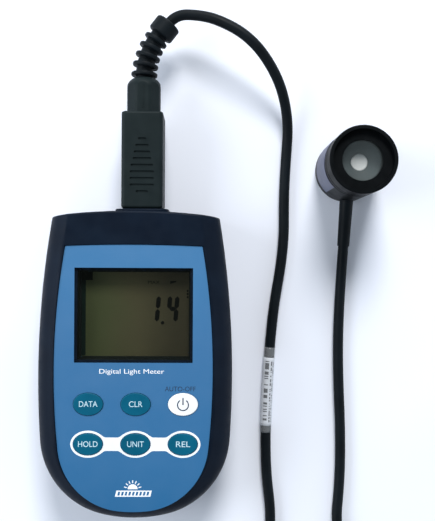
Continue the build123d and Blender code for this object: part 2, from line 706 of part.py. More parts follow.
def screw(shank_radius, head_radius, head_height, seat_z, tip_z, x, y):
    """Pan-head screw that points up along Z, with a cross recess in its head."""
    body = cylinder_z(shank_radius, seat_z, tip_z, x, y)
    head = cylinder_z(head_radius, seat_z - head_height, seat_z, x, y)
    body += fillet(head.edges().group_by(Axis.Z)[0], head_height * HEAD_ROUND_SHARE)
    slot = head_radius * RECESS_LENGTH_SHARE
    width = head_radius * RECESS_WIDTH_SHARE
    low = seat_z - head_height - 1
    high = seat_z - head_height * RECESS_DEPTH_SHARE
    body -= plate(slot, width, low, high, x, y)
    body -= plate(width, slot, low, high, x, y)
    return body


def make_board_screws():
    """Four small screws that hold the board to the front shell."""
    head = (BOARD_SCREW_HEAD_RADIUS, BOARD_SCREW_HEAD_HEIGHT)
    tip_z = BOARD_TOP_Z + BOARD_SCREW_GRIP
    return [screw(BOARD_SCREW_RADIUS, *head, BOARD_Z, tip_z, x, y) for x, y in mirrored(BOARD_POSTS)]


def make_case_screws():
    """Four long screws from the back into the front shell's posts."""
    head = (SCREW_HEAD_RADIUS, SCREW_HEAD_HEIGHT)
    levels = (SCREW_SEAT_Z, SCREW_TIP_Z)
    return [screw(CASE_SCREW_RADIUS, *head, *levels, x, y) for x, y in mirrored(CASE_POSTS)]


# --------------------------------------------------------------------------- batteries
def cell_x(index):
    """Middle of one cell across the bay."""
    return (index - (CELL_COUNT - 1) / 2) * (2 * CELL_RADIUS + CELL_GAP)


def cell_turned(index):
    """True for the cell whose positive end points the other way."""
    return index % 2 == 1


def make_cell(index):
    """One AA cell with its positive nub."""
    can_length = CELL_LENGTH - CELL_NUB_HEIGHT
    can = cylinder_y(CELL_RADIUS, 0, can_length, 0, 0)
    can = fillet(can.edges(), CELL_EDGE_ROUND)
    can += cylinder_y(CELL_NUB_RADIUS, can_length / 2, CELL_LENGTH, 0, 0)
    y = CELL_END_Y - CELL_LENGTH
    if cell_turned(index):
        return Pos(cell_x(index), y + CELL_LENGTH, CELL_Z) * Rot(0, 0, 180) * can
    return Pos(cell_x(index), y, CELL_Z) * can


def contact_plate(x, low_y):
    """Square contact plate across the end of one cell."""
    half = CONTACT_SIDE / 2
    return block((x - half, low_y, CELL_Z - half), (x + half, low_y + CONTACT_THICKNESS, CELL_Z + half))


def make_contact_plates():
    """Flat contact plates at the upper end of the bay, one for each cell."""
    return [contact_plate(cell_x(index), BAY_HIGH_Y - CONTACT_THICKNESS) for index in range(CELL_COUNT)]


def make_contact_springs():
    """Bowed leaf contacts at the lower end of the bay, one for each cell."""
    springs = []
    for index in range(CELL_COUNT):
        x = cell_x(index)
        outer = Cylinder(LEAF_RADIUS + CONTACT_THICKNESS, LEAF_WIDTH)
        inner = Cylinder(LEAF_RADIUS, LEAF_WIDTH + 1)
        leaf = Pos(x, BAY_LOW_Y + LEAF_RADIUS, CELL_Z) * Rot(0, 90, 0) * (outer - inner)
        keep = block((x - LEAF_WIDTH, BAY_LOW_Y, 0), (x + LEAF_WIDTH, CELL_END_Y, CASE_DEPTH))
        springs.append(contact_plate(x, BAY_LOW_Y) + (leaf & keep))
    return springs


def make_battery_door():
    """Lift-off door level with the flat back, with a tab for its screw."""
    half_x = BAY_HALF_WIDTH - DOOR_GAP
    door = block((-half_x, BAY_LOW_Y + DOOR_GAP, 0), (half_x, BAY_HIGH_Y - DOOR_GAP, DOOR_THICKNESS))
    half = DOOR_TAB_WIDTH / 2
    low_y = DOOR_SCREW_Y - DOOR_TAB_LENGTH / 2
    door += block((-half, low_y, 0), (half, BAY_LOW_Y + 1, DOOR_TAB_THICKNESS))
    door = fillet(door.edges().filter_by(Axis.Z), DOOR_CORNER)
    door -= cylinder_z(DOOR_SCREW_RADIUS + LOOSE_FIT, -1, DOOR_THICKNESS, 0, DOOR_SCREW_Y)
    door -= cylinder_z(DOOR_SCREW_HEAD_RADIUS + LOOSE_FIT, -1, DOOR_SCREW_SEAT_Z, 0, DOOR_SCREW_Y)
    for step in range(DOOR_GRIP_COUNT):
        y = BAY_HIGH_Y - DOOR_GRIP_FIRST - DOOR_GRIP_PITCH * step
        door -= plate(DOOR_GRIP_LENGTH, DOOR_GRIP_WIDTH, -1, DOOR_GRIP_DEPTH, 0, y)
    return door


def make_door_screw():
    """Captive screw of the battery door."""
    head = (DOOR_SCREW_HEAD_RADIUS, DOOR_SCREW_HEAD_HEIGHT)
    tip_z = DOOR_TAB_THICKNESS + INSERT_LENGTH
    return screw(DOOR_SCREW_RADIUS, *head, DOOR_SCREW_SEAT_Z, tip_z, 0, DOOR_SCREW_Y)


def make_door_insert():
    """Brass insert in the rear shell that takes the door's screw."""
    low = DOOR_TAB_THICKNESS + FIT
    ring = cylinder_z(INSERT_RADIUS, low, low + INSERT_LENGTH, 0, DOOR_SCREW_Y)
    return ring - cylinder_z(DOOR_SCREW_RADIUS + FIT, 0, low + INSERT_LENGTH + 1, 0, DOOR_SCREW_Y)


# -------------------------------------------------------------------------- probe socket
def make_socket_collar():
    """Rounded square collar that stands proud of the top end."""
    collar = collar_block(0) - socket_hole()
    outer_face = collar.faces().sort_by(Axis.Y)[-1]
    return fillet(outer_face.edges(), COLLAR_EDGE_ROUND)


def make_socket_shield():
    """Metal tube round the socket."""
    tube = cylinder_y(SHIELD_BORE + SHIELD_THICKNESS, SOCKET_REAR_Y, COLLAR_Y - SHIELD_SUNK)
    return tube - cylinder_y(SHIELD_BORE, SOCKET_REAR_Y - 1, COLLAR_Y + 1)


def pin_places():
    """Middle pin and the ring of pins round it, as x, z."""
    places = [(SOCKET_X, SOCKET_Z)]
    for index in range(PIN_COUNT):
        angle = math.radians(90 + 360 * (index + 0.5) / PIN_COUNT)
        places.append((SOCKET_X + PIN_CIRCLE * math.cos(angle), SOCKET_Z + PIN_CIRCLE * math.sin(angle)))
    return places


def make_probe_socket():
    """Insulating body behind the socket's opening, drilled for the pins."""
    body = cylinder_y(SHIELD_BORE - FIT, SOCKET_REAR_Y, SOCKET_BACK_Y)
    for x, z in pin_places():
        body -= cylinder_y(PIN_RADIUS + PIN_FIT, SOCKET_REAR_Y - 1, SOCKET_BACK_Y + 1, x, z)
    return body


def make_socket_pins():
    """Eight contact pins through the socket body."""
    pins = []
    for x, z in pin_places():
        pin = cylinder_y(PIN_RADIUS, SOCKET_REAR_Y - PIN_TAIL, SOCKET_BACK_Y + PIN_REACH, x, z)
        pins.append(fillet(pin.edges().sort_by(Axis.Y)[-1], PIN_RADIUS * 0.6))
    return pins


def make_socket_board():
    """Small board that the socket's pins are soldered to."""
    end = SOCKET_REAR_Y - FIT
    half_w, half_h = [SHIELD_BORE + margin for margin in SOCKET_BOARD_MARGIN]
    low = (SOCKET_X - half_w, end - BOARD_THICKNESS, SOCKET_Z - half_h)
    board = block(low, (SOCKET_X + half_w, end, SOCKET_Z + half_h))
    for x, z in pin_places():
        board -= cylinder_y(PIN_RADIUS + PIN_FIT, low[1] - 1, end + 1, x, z)
    return board


# ------------------------------------------------------------------------- probe module
def module_block(inset):
    """The module's rounded block, moved inwards by inset."""
    half_w = MODULE_WIDTH / 2 - inset
    half_h = MODULE_HEIGHT / 2 - inset
    low = (SOCKET_X - half_w, MODULE_Y + inset, SOCKET_Z - half_h)
    high = (SOCKET_X + half_w, MODULE_END_Y - inset, SOCKET_Z + half_h)
    return block(low, high)


def module_shell():
    """Hollow module with holes for the plug and the cable plug's nose."""
    outer = module_block(0)
    outer = fillet(outer.edges().filter_by(Axis.Y), MODULE_LONG_ROUND)
    ends = outer.faces().sort_by(Axis.Y)
    outer = fillet(ends[0].edges() + ends[-1].edges(), MODULE_END_ROUND)
    shell = outer - module_block(MODULE_WALL)
    shell -= cylinder_y(PLUG_SHIELD_RADIUS + FIT, MODULE_Y - 1, MODULE_Y + MODULE_WALL + 1)
    start = MODULE_END_Y - MODULE_WALL - 1
    return shell - cylinder_y(PLUG_NOSE_RADIUS + FIT, start, MODULE_END_Y + 1)


def grip_slots(level):
    """Row of finger grooves of growing width, centred on one level."""
    slots = []
    for index, width in enumerate(GRIP_WIDTHS):
        y = MODULE_END_Y - GRIP_FIRST - GRIP_PITCH * index
        slot = extrude(SlotOverall(width, GRIP_SLOT), amount=GRIP_DEPTH, both=True)
        slots.append(Pos(SOCKET_X, y, level) * slot)
    return slots


def make_module_upper_shell(shell):
    """Upper half of the module with the finger grooves in its top."""
    half = shell & half_space(SOCKET_Z, CASE_DEPTH)
    return half - grip_slots(SOCKET_Z + MODULE_HEIGHT / 2)


def make_module_lower_shell(shell):
    """Lower half of the module with the same finger grooves underneath."""
    half = shell & half_space(0, SOCKET_Z)
    return half - grip_slots(SOCKET_Z - MODULE_HEIGHT / 2)


def make_module_shield():
    """Metal tube of the module's plug, which slides into the socket."""
    tube = cylinder_y(PLUG_SHIELD_RADIUS, PLUG_TIP_Y, PLUG_BODY_END_Y)
    bore = PLUG_SHIELD_RADIUS - SHIELD_THICKNESS
    return tube - cylinder_y(bore, PLUG_TIP_Y - 1, PLUG_BODY_END_Y + 1)


def make_module_insulator():
    """Insulating core of the module's plug, bored for the contacts."""
    radius = PLUG_SHIELD_RADIUS - SHIELD_THICKNESS - FIT
    body = cylinder_y(radius, PLUG_TIP_Y + FIT, PLUG_BODY_END_Y)
    bore = CONTACT_BORE + CONTACT_WALL + PIN_FIT
    for x, z in pin_places():
        body -= cylinder_y(bore, PLUG_TIP_Y - 1, PLUG_BODY_END_Y + 1, x, z)
    return body


def make_module_contacts():
    """Eight tube contacts that take the socket's pins."""
    contacts = []
    tail_end = PLUG_BODY_END_Y + CONTACT_TAIL
    bore_end = PLUG_TIP_Y + PIN_REACH + CONTACT_SPARE
    for x, z in pin_places():
        tube = cylinder_y(CONTACT_BORE + CONTACT_WALL, PLUG_TIP_Y + CONTACT_RECESS, PLUG_BODY_END_Y, x, z)
        tube += cylinder_y(PIN_RADIUS, PLUG_BODY_END_Y - CONTACT_RECESS, tail_end, x, z)
        contacts.append(tube - cylinder_y(CONTACT_BORE, PLUG_TIP_Y - 1, bore_end, x, z))
    return contacts


def make_module_board():
    """Circuit board along the middle of the module."""
    start = PLUG_BODY_END_Y + MODULE_BOARD_GAPS[0]
    end = MODULE_END_Y - PLUG_NOSE_LENGTH - MODULE_BOARD_GAPS[1]
    half_w = MODULE_BOARD_WIDTH / 2
    half_t = BOARD_THICKNESS / 2
    return block((SOCKET_X - half_w, start, SOCKET_Z - half_t), (SOCKET_X + half_w, end, SOCKET_Z + half_t))


def make_module_chip():
    """Memory chip that holds the probe's calibration."""
    y = (PLUG_BODY_END_Y + MODULE_END_Y) / 2 + MODULE_CHIP_SHIFT
    low = SOCKET_Z + BOARD_THICKNESS / 2
    return plate(*MODULE_CHIP_SIZE, low, low + CHIP_THICKNESS, SOCKET_X, y)


def plug_bullet():
    """Round body with a rounded shoulder down to the neck, along Y."""
    radius = PLUG_WIDTH / 2 * PLUG_SHOULDER_WIDER
    start = MODULE_END_Y
    bend = MODULE_END_Y + PLUG_LENGTH
    middle_x = radius + (PLUG_NECK_RADIUS - radius) * PLUG_SHOULDER_BOW[0]
    middle = (middle_x, bend + PLUG_SHOULDER * PLUG_SHOULDER_BOW[1])
    side = Line((radius, start), (radius, bend - 1))
    shoulder = ThreePointArc((radius, bend - 1), middle, (PLUG_NECK_RADIUS, PLUG_END_Y))
    end = Line((PLUG_NECK_RADIUS, PLUG_END_Y), (0, PLUG_END_Y))
    axis = Line((0, PLUG_END_Y), (0, start))
    base = Line((0, start), (radius, start))
    bullet = revolve(Face(Wire([side, shoulder, end, axis, base])), Axis.Y, 360)
    return Pos(SOCKET_X, 0, SOCKET_Z) * bullet


def make_cable_plug():
    """Faceted plug body with a rounded shoulder and a nose held in the module."""
    half_turn = 180 / PLUG_SIDES
    corner_radius = PLUG_WIDTH / 2 / math.cos(math.radians(half_turn))
    profile = RegularPolygon(corner_radius, PLUG_SIDES, rotation=half_turn)
    prism = extrude(profile, amount=PLUG_LENGTH + PLUG_SHOULDER, dir=(0, 0, 1))
    prism = fillet(prism.edges().filter_by(Axis.Z), PLUG_CORNER_ROUND)
    body = Pos(SOCKET_X, MODULE_END_Y, SOCKET_Z) * Rot(-90, 0, 0) * prism
    body = body & plug_bullet()
    half = PLUG_RIDGE_WIDTH / 2
    start = MODULE_END_Y + PLUG_RIDGE_GAPS[0]
    end = MODULE_END_Y + PLUG_LENGTH - PLUG_RIDGE_GAPS[1]
    top = SOCKET_Z + PLUG_WIDTH / 2 + PLUG_RIDGE_PROUD
    body += block((SOCKET_X - half, start, SOCKET_Z), (SOCKET_X + half, end, top))
    return body + cylinder_y(PLUG_NOSE_RADIUS, MODULE_END_Y - PLUG_NOSE_LENGTH, MODULE_END_Y + 1)


# ------------------------------------------------------------- strain relief and cables
def relief_plane(s):
    """Plane square to the bent strain relief at a distance along it."""
    angle = min(s, RELIEF_END_S) / RELIEF_RADIUS
    x = SOCKET_X + RELIEF_RADIUS * (1 - math.cos(angle))
    y = PLUG_END_Y + RELIEF_RADIUS * math.sin(angle)
    over = max(0.0, s - RELIEF_END_S)
    x += over * math.sin(angle)
    y += over * math.cos(angle)
    return Plane((x, y, SOCKET_Z), x_dir=(0, 0, 1), z_dir=(math.sin(angle), math.cos(angle), 0))


def make_strain_relief():
    """Bent core with five round ribs that grow smaller towards the cable."""
    start, middle, end = [relief_plane(f * RELIEF_END_S) for f in (0, 0.5, 1)]
    path = ThreePointArc(start.origin, middle.origin, end.origin)
    relief = sweep(start * Circle(RELIEF_CORE_RADIUS), path=path)
    for index in range(RIB_COUNT):
        rib = Cylinder(RIB_RADIUS - RIB_TAPER * index, RIB_THICKNESS)
        rib = fillet(rib.edges(), RIB_ROUND)
        relief += relief_plane(RIB_FIRST + RIB_SPACING * index) * rib
    return relief


def make_relief_collar():
    """Thick ring at the end of the strain relief, where the cable leaves it."""
    ring = Cylinder(RELIEF_COLLAR_RADIUS, RELIEF_COLLAR_LENGTH)
    ring = fillet(ring.edges(), RELIEF_COLLAR_ROUND)
    return relief_plane(RELIEF_END_S + RELIEF_COLLAR_LENGTH / 2) * ring


def bend_radii(points):
    """Radius of the arc at each corner of a route."""
    radii = []
    for before, point, after in zip(points, points[1:], points[2:]):
        run_1 = Vector(*point) - Vector(*before)
        run_2 = Vector(*after) - Vector(*point)
        turn = math.radians(run_1.get_angle(run_2))
        radii.append(0.45 * min(run_1.length, run_2.length) / math.tan(turn / 2))
    return radii


def tube(points, radius, name):
    """Tube along straight runs joined by tangent arcs."""
    radii = bend_radii(points)
    path = FilletPolyline(*points, radius=radii)
    start = Vector(*points[1]) - Vector(*points[0])
    body = sweep(Plane(points[0], z_dir=start) * Circle(radius), path=path)
    expected = math.pi * radius**2 * path.length
    print(name, "arc radii", [round(r, 1) for r in radii])
    print(name, "length", round(path.length, 1), "volume over section x length", body.volume / expected)
    return body


def up_to_coil(body, coil):
    """Tube cut off where it runs into the coil's side."""
    return max((body - coil).solids(), key=lambda solid: solid.volume)


def make_coil():
    """Closed ring with the outer shape of the tied coil."""
    outer = COIL_MEAN_RADIUS + COIL_HALF_WIDTH
    inner = COIL_MEAN_RADIUS - COIL_HALF_WIDTH
    top = COIL_BASE_Z + COIL_HEIGHT
    ring = cylinder_z(outer, COIL_BASE_Z, top, *COIL_CENTRE)
    ring -= cylinder_z(inner, 0, top + 1, *COIL_CENTRE)
    return fillet(ring.edges().filter_by(GeomType.CIRCLE), COIL_EDGE_ROUND)


def make_coil_tie(coil):
    """Flat strap round the coil at the side away from the meter."""
    x, y = COIL_CENTRE
    low_y = y - COIL_MEAN_RADIUS - COIL_HALF_WIDTH - TIE_THICKNESS
    high_y = y - COIL_MEAN_RADIUS + COIL_HALF_WIDTH + TIE_THICKNESS
    high_z = COIL_BASE_Z + COIL_HEIGHT + TIE_THICKNESS
    strap = block((x - TIE_WIDTH / 2, low_y, 0), (x + TIE_WIDTH / 2, high_y, high_z))
    strap = fillet(strap.edges().filter_by(Axis.X), TIE_THICKNESS * 2)
    return strap - coil


def label_plane(distance):
    """Plane square to the cable at a distance along the run that carries the label."""
    a, b = [Vector(*p) for p in ROUTE_TO_METER[LABEL_RUN : LABEL_RUN + 2]]
    along = (b - a).normalized()
    return Plane(a + along * distance, z_dir=along)


def tube_on_cable(inner, thickness, start, length):
    """Thin tube round the label's run of the cable."""
    ring = Cylinder(inner + thickness, length, align=(Align.CENTER, Align.CENTER, Align.MIN))
    ring -= Cylinder(inner, 3 * length)
    return label_plane(start) * ring


# -------------------------------------------------------------------------- sensor head
def head_cylinder(radius, low, high):
    """Cylinder on the sensor head's axis."""
    return cylinder_z(radius, low, high, HEAD_X, HEAD_Y)


def make_head_base():
    """Flat base the head stands on, with a spigot up into the barrel."""
    base = head_cylinder(HEAD_RADIUS, 0, BASE_THICKNESS)
    base = fillet(base.edges().group_by(Axis.Z)[0], BASE_EDGE_ROUND)
    top = BASE_THICKNESS + BASE_SPIGOT
    base += head_cylinder(HEAD_BORE - FIT, BASE_THICKNESS / 2, top)
    hollow = head_cylinder(HEAD_BORE - FIT - BASE_SPIGOT_WALL, BASE_THICKNESS, top + 1)
    return base - hollow - boot_solid(2 * LOOSE_FIT)


def make_head_barrel():
    """Barrel with two shallow grooves and the cable's hole."""
    barrel = head_cylinder(HEAD_RADIUS, BASE_THICKNESS, HOOD_JOINT_Z)
    barrel -= head_cylinder(HEAD_BORE, BASE_THICKNESS - 1, HOOD_JOINT_Z + 1)
    for z in HEAD_GROOVES_Z:
        ring = head_cylinder(HEAD_RADIUS + 1, z, z + HEAD_GROOVE_WIDTH)
        barrel -= ring - head_cylinder(HEAD_RADIUS - HEAD_GROOVE_DEPTH, z - 1, z + HEAD_GROOVE_WIDTH + 1)
    return barrel - boot_solid(FIT)


def make_head_hood():
    """Screwed-on hood with a deep mouth and a ledge over the lens."""
    hood = head_cylinder(HEAD_RADIUS, HOOD_JOINT_Z, HEAD_HEIGHT)
    hood = fillet(hood.edges().group_by(Axis.Z)[-1], HOOD_EDGE_ROUND)
    hood += head_cylinder(HEAD_BORE - FIT, HOOD_JOINT_Z - HOOD_SPIGOT, HOOD_JOINT_Z + HOOD_EDGE_ROUND)
    hood -= head_cylinder(HOOD_MOUTH_RADIUS, HOOD_LEDGE_Z, HEAD_HEIGHT + 1)
    hood -= head_cylinder(HOOD_HOLE_RADIUS, HOOD_UNDER_Z - 1, HOOD_LEDGE_Z + 1)
    hood -= head_cylinder(LENS_RADIUS + 2 * FIT, HOOD_JOINT_Z - HOOD_SPIGOT - 1, HOOD_UNDER_Z)
    return hood


def make_head_lens():
    """Glass window under the hood's ledge, slightly crowned."""
    lens = head_cylinder(LENS_RADIUS, HOOD_UNDER_Z - LENS_THICKNESS, HOOD_UNDER_Z)
    crown = head_cylinder(HOOD_HOLE_RADIUS - 2 * FIT, HOOD_UNDER_Z - LENS_CROWN, HOOD_UNDER_Z + LENS_CROWN)
    crown = fillet(crown.edges().group_by(Axis.Z)[-1], LENS_CROWN * 0.8)
    return lens + crown


def make_lens_ring():
    """Ring that holds the lens up against the ledge."""
    top = HOOD_UNDER_Z - LENS_THICKNESS
    ring = head_cylinder(LENS_RADIUS, top - LENS_RING_HEIGHT, top)
    return ring - head_cylinder(LENS_RADIUS - LENS_RING_LIP, top - LENS_RING_HEIGHT - 1, top + 1)


def make_detector_holder():
    """Holder with a conical top for the diffuser, the filter and the photodiode."""
    holder = head_cylinder(LENS_RADIUS - HOLDER_CLEARANCE, HEAD_BOARD_TOP_Z, HOLDER_TOP_Z)
    cone_z = HOLDER_TOP_Z - CONE_DEPTH
    cone = Cone(DIFFUSER_RADIUS + FIT, HOOD_HOLE_RADIUS, CONE_DEPTH)
    holder -= Pos(HEAD_X, HEAD_Y, cone_z + CONE_DEPTH / 2) * cone
    holder -= head_cylinder(DIFFUSER_RADIUS + FIT, HEAD_BOARD_TOP_Z, cone_z + FIT)
    room_top = cone_z - DIFFUSER_THICKNESS
    return holder - head_cylinder(FILTER_RADIUS + FIT, HEAD_BOARD_TOP_Z - 1, room_top)


def make_diffuser():
    """White diffuser disc at the bottom of the cone."""
    top = HOLDER_TOP_Z - CONE_DEPTH
    disc = head_cylinder(DIFFUSER_RADIUS, top - DIFFUSER_THICKNESS, top)
    return fillet(disc.edges().group_by(Axis.Z)[-1], DIFFUSER_ROUND)


def make_filter():
    """Coloured glass filter under the diffuser."""
    top = HOLDER_TOP_Z - CONE_DEPTH - DIFFUSER_THICKNESS
    return head_cylinder(FILTER_RADIUS, top - FILTER_THICKNESS, top)


def make_photodiode():
    """Photodiode can on the head's board."""
    return head_cylinder(DIODE_RADIUS, HEAD_BOARD_TOP_Z, HEAD_BOARD_TOP_Z + DIODE_HEIGHT)


def make_head_board():
    """Round board across the barrel."""
    return head_cylinder(HEAD_BORE - FIT, HEAD_BOARD_TOP_Z - BOARD_THICKNESS, HEAD_BOARD_TOP_Z)


def make_head_label():
    """Pale label band round part of the barrel."""
    low, high = HEAD_LABEL_LOW_Z, HEAD_LABEL_HIGH_Z
    ring = head_cylinder(HEAD_RADIUS + HEAD_LABEL_THICKNESS, low, high)
    ring -= head_cylinder(HEAD_RADIUS, low - 1, high + 1)
    reach = 2 * HEAD_RADIUS
    half = HEAD_LABEL_SPAN / 2
    turns = [math.radians(HEAD_LABEL_FROM + half + side * half) for side in (-1, 0, 1)]
    corners = [(HEAD_X + reach * math.cos(a), HEAD_Y + reach * math.sin(a), low) for a in turns]
    face = Face(Wire.make_polygon([(HEAD_X, HEAD_Y, low)] + corners))
    return ring & extrude(face, amount=high - low, dir=(0, 0, 1))


def boot_solid(grow):
    """Tapered boot between the barrel and the cable, grown all round."""
    start, end = Vector(*BOOT_START), Vector(*BOOT_END)
    along = (end - start).normalized()
    inside = start - along * BOOT_INSIDE
    length = (end - inside).length
    seated = (Align.CENTER, Align.CENTER, Align.MIN)
    cone = Cone(BOOT_BIG_RADIUS + grow, BOOT_SMALL_RADIUS + grow, length, align=seated)
    return Plane(inside, z_dir=along) * cone


# ----------------------------------------------------------------------------- assembly
def build():
    """Every piece, by node name."""
    outer = case_solid(0)
    top_end = outer.faces().sort_by(Axis.Y)[-1]
    outer = fillet(top_end.edges(), TOP_EDGE_ROUND)
    inner = case_solid(WALL)
    module = module_shell()
    coil = make_coil()
    nodes = {
        "front_shell": make_front_shell(outer, inner),
        "rear_shell": make_rear_shell(outer, inner),
        "keypad_overlay": make_keypad_overlay(),
        "display_window": make_display_window(),
        "lcd_frame": make_lcd_frame(),
        "lcd_glass": make_lcd_glass(),
        "lcd_backplate": make_lcd_backplate(),
        "zebra_strips": make_zebra_strips(),
        "snap_domes": make_snap_domes(),
        "main_board": make_main_board(),
        "board_chips": make_board_chips(),
        "board_parts": make_board_parts(),
        "board_screws": make_board_screws(),
        "case_screws": make_case_screws(),
        "contact_plates": make_contact_plates(),
        "contact_springs": make_contact_springs(),
        "battery_door": make_battery_door(),
        "door_screw": make_door_screw(),
        "door_insert": make_door_insert(),
        "socket_collar": make_socket_collar(),
        "socket_shield": make_socket_shield(),
        "probe_socket": make_probe_socket(),
        "socket_pins": make_socket_pins(),
        "socket_board": make_socket_board(),
        "module_upper_shell": make_module_upper_shell(module),
        "module_lower_shell": make_module_lower_shell(module),
        "module_shield": make_module_shield(),
        "module_insulator": make_module_insulator(),
        "module_contacts": make_module_contacts(),
        "module_board": make_module_board(),
        "module_chip": make_module_chip(),
        "cable_plug": make_cable_plug(),
        "strain_relief": make_strain_relief(),
        "relief_collar": make_relief_collar(),
        "cable_to_meter": up_to_coil(tube(ROUTE_TO_METER, CABLE_RADIUS, "cable_to_meter"), coil),
        "cable_to_head": up_to_coil(tube(ROUTE_TO_HEAD, CABLE_RADIUS, "cable_to_head"), coil),
        "cable_coil": coil,
        "coil_tie": make_coil_tie(coil),
        "head_base": make_head_base(),
        "head_barrel": make_head_barrel(),
        "head_hood": make_head_hood(),
        "head_lens": make_head_lens(),
        "lens_ring": make_lens_ring(),
        "detector_holder": make_detector_holder(),
        "diffuser": make_diffuser(),
        "colour_filter": make_filter(),
        "photodiode": make_photodiode(),
        "head_board": make_head_board(),
        "head_label": make_head_label(),
        "head_boot": boot_solid(0),
    }
    label_inner = CABLE_RADIUS + FIT / 2
    sleeve_inner = label_inner + LABEL_THICKNESS + FIT / 2
    nodes["cable_label"] = tube_on_cable(label_inner, LABEL_THICKNESS, LABEL_START, LABEL_LENGTH)
    nodes["label_sleeve"] = tube_on_cable(sleeve_inner, SLEEVE_THICKNESS, SLEEVE_START, SLEEVE_LENGTH)
    for name, x, y, size in key_places():
        nodes[name] = make_key(x, y, size)
    nodes["batteries"] = [make_cell(index) for index in range(CELL_COUNT)]
    return nodes


def write_parts(nodes):
    """One STEP file for each node."""
    os.makedirs("parts", exist_ok=True)
    for name, shape in nodes.items():
        solids = shape if isinstance(shape, list) else shape.solids()
        solids = [s for item in solids for s in item.solids()]
        piece = solids[0] if len(solids) == 1 else Compound(children=solids)
        piece.label = name
        export_step(piece, f"parts/{name}.step")


write_parts(build())
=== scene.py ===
"""Looks of the handheld light meter and its plug-in probe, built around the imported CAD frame.

Lengths named *_MM and the route are in millimetres and go through mm(); Blender works in metres.
"""

import json
import math

import bpy
from mathutils import Euler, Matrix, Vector


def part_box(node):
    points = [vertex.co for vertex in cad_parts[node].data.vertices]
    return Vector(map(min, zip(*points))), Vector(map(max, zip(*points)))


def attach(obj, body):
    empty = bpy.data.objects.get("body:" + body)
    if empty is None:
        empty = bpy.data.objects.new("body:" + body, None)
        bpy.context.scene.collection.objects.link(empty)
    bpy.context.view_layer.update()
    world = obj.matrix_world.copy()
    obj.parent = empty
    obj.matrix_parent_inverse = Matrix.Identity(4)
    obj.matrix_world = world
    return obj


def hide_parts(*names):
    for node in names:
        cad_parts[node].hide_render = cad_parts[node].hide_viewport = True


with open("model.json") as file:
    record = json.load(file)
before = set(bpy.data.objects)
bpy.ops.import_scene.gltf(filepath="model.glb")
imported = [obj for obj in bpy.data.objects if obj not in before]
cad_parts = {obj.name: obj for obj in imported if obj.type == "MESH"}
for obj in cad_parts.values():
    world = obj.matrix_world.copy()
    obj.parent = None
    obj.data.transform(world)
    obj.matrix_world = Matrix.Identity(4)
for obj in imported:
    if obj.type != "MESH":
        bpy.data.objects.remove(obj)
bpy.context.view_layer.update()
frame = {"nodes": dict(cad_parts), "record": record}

MM = 0.001


def mm(*values):
    """A point or size in millimetres, as metres."""
    return tuple(v * MM for v in values)


# ------------------------------------------------------------------------------- camera
CAMERA_PLACE = mm(32.0, 46.5, 385.0)
CAMERA_TURN = (0.0025, -0.0141, 0.0051)
FOCAL_PIXELS = 786.8
IMAGE_LONG_SIDE = 521
SENSOR_MM = 36.0


def make_camera():
    """Camera straight above, between the display and the sensor head."""
    data = bpy.data.cameras.new("camera")
    data.sensor_width = SENSOR_MM
    data.lens = FOCAL_PIXELS * SENSOR_MM / IMAGE_LONG_SIDE
    data.clip_start = 0.01
    camera = bpy.data.objects.new("camera", data)
    camera.location = CAMERA_PLACE
    camera.rotation_euler = Euler(CAMERA_TURN, "XYZ")
    bpy.context.collection.objects.link(camera)
    bpy.context.scene.camera = camera


make_camera()


# ------------------------------------------------------------------------ node materials
def new_material(name):
    """Empty node material with its shader, and a helper that adds nodes."""
    material = bpy.data.materials.new(name)
    material.use_nodes = True
    tree = material.node_tree
    shader = tree.nodes["Principled BSDF"]

    def add(kind, **values):
        node = tree.nodes.new(kind)
        for key, value in values.items():
            if hasattr(node, key):
                setattr(node, key, value)
            else:
                node.inputs[key].default_value = value
        return node

    return material, tree, shader, add


def colour(rgb, alpha=1.0):
    """Colour from 0-255 screen values to linear light."""
    def linear(v):
        v = v / 255
        return v / 12.92 if v <= 0.04045 else ((v + 0.055) / 1.055) ** 2.4
    return (linear(rgb[0]), linear(rgb[1]), linear(rgb[2]), alpha)


def noise(add, tree, source, scale, detail=3.0, rough=0.6):
    """Noise texture in object space."""
    node = add("ShaderNodeTexNoise")
    node.inputs["Scale"].default_value = scale
    node.inputs["Detail"].default_value = detail
    node.inputs["Roughness"].default_value = rough
    tree.links.new(source, node.inputs["Vector"])
    return node


def ramp(add, tree, source, stops):
    """Colour ramp from a list of positions and colours."""
    node = add("ShaderNodeValToRGB")
    elements = node.color_ramp.elements
    while len(elements) < len(stops):
        elements.new(0.5)
    for element, (place, value) in zip(elements, stops):
        element.position = place
        element.color = value
    tree.links.new(source, node.inputs["Fac"])
    return node


def map_range(add, tree, source, low, high, to_low, to_high):
    """Value mapped from one range to another."""
    node = add("ShaderNodeMapRange")
    for name, value in (("From Min", low), ("From Max", high), ("To Min", to_low), ("To Max", to_high)):
        node.inputs[name].default_value = value
    tree.links.new(source, node.inputs["Value"])
    return node.outputs["Result"]


MOULDED_BLOTCH = 60


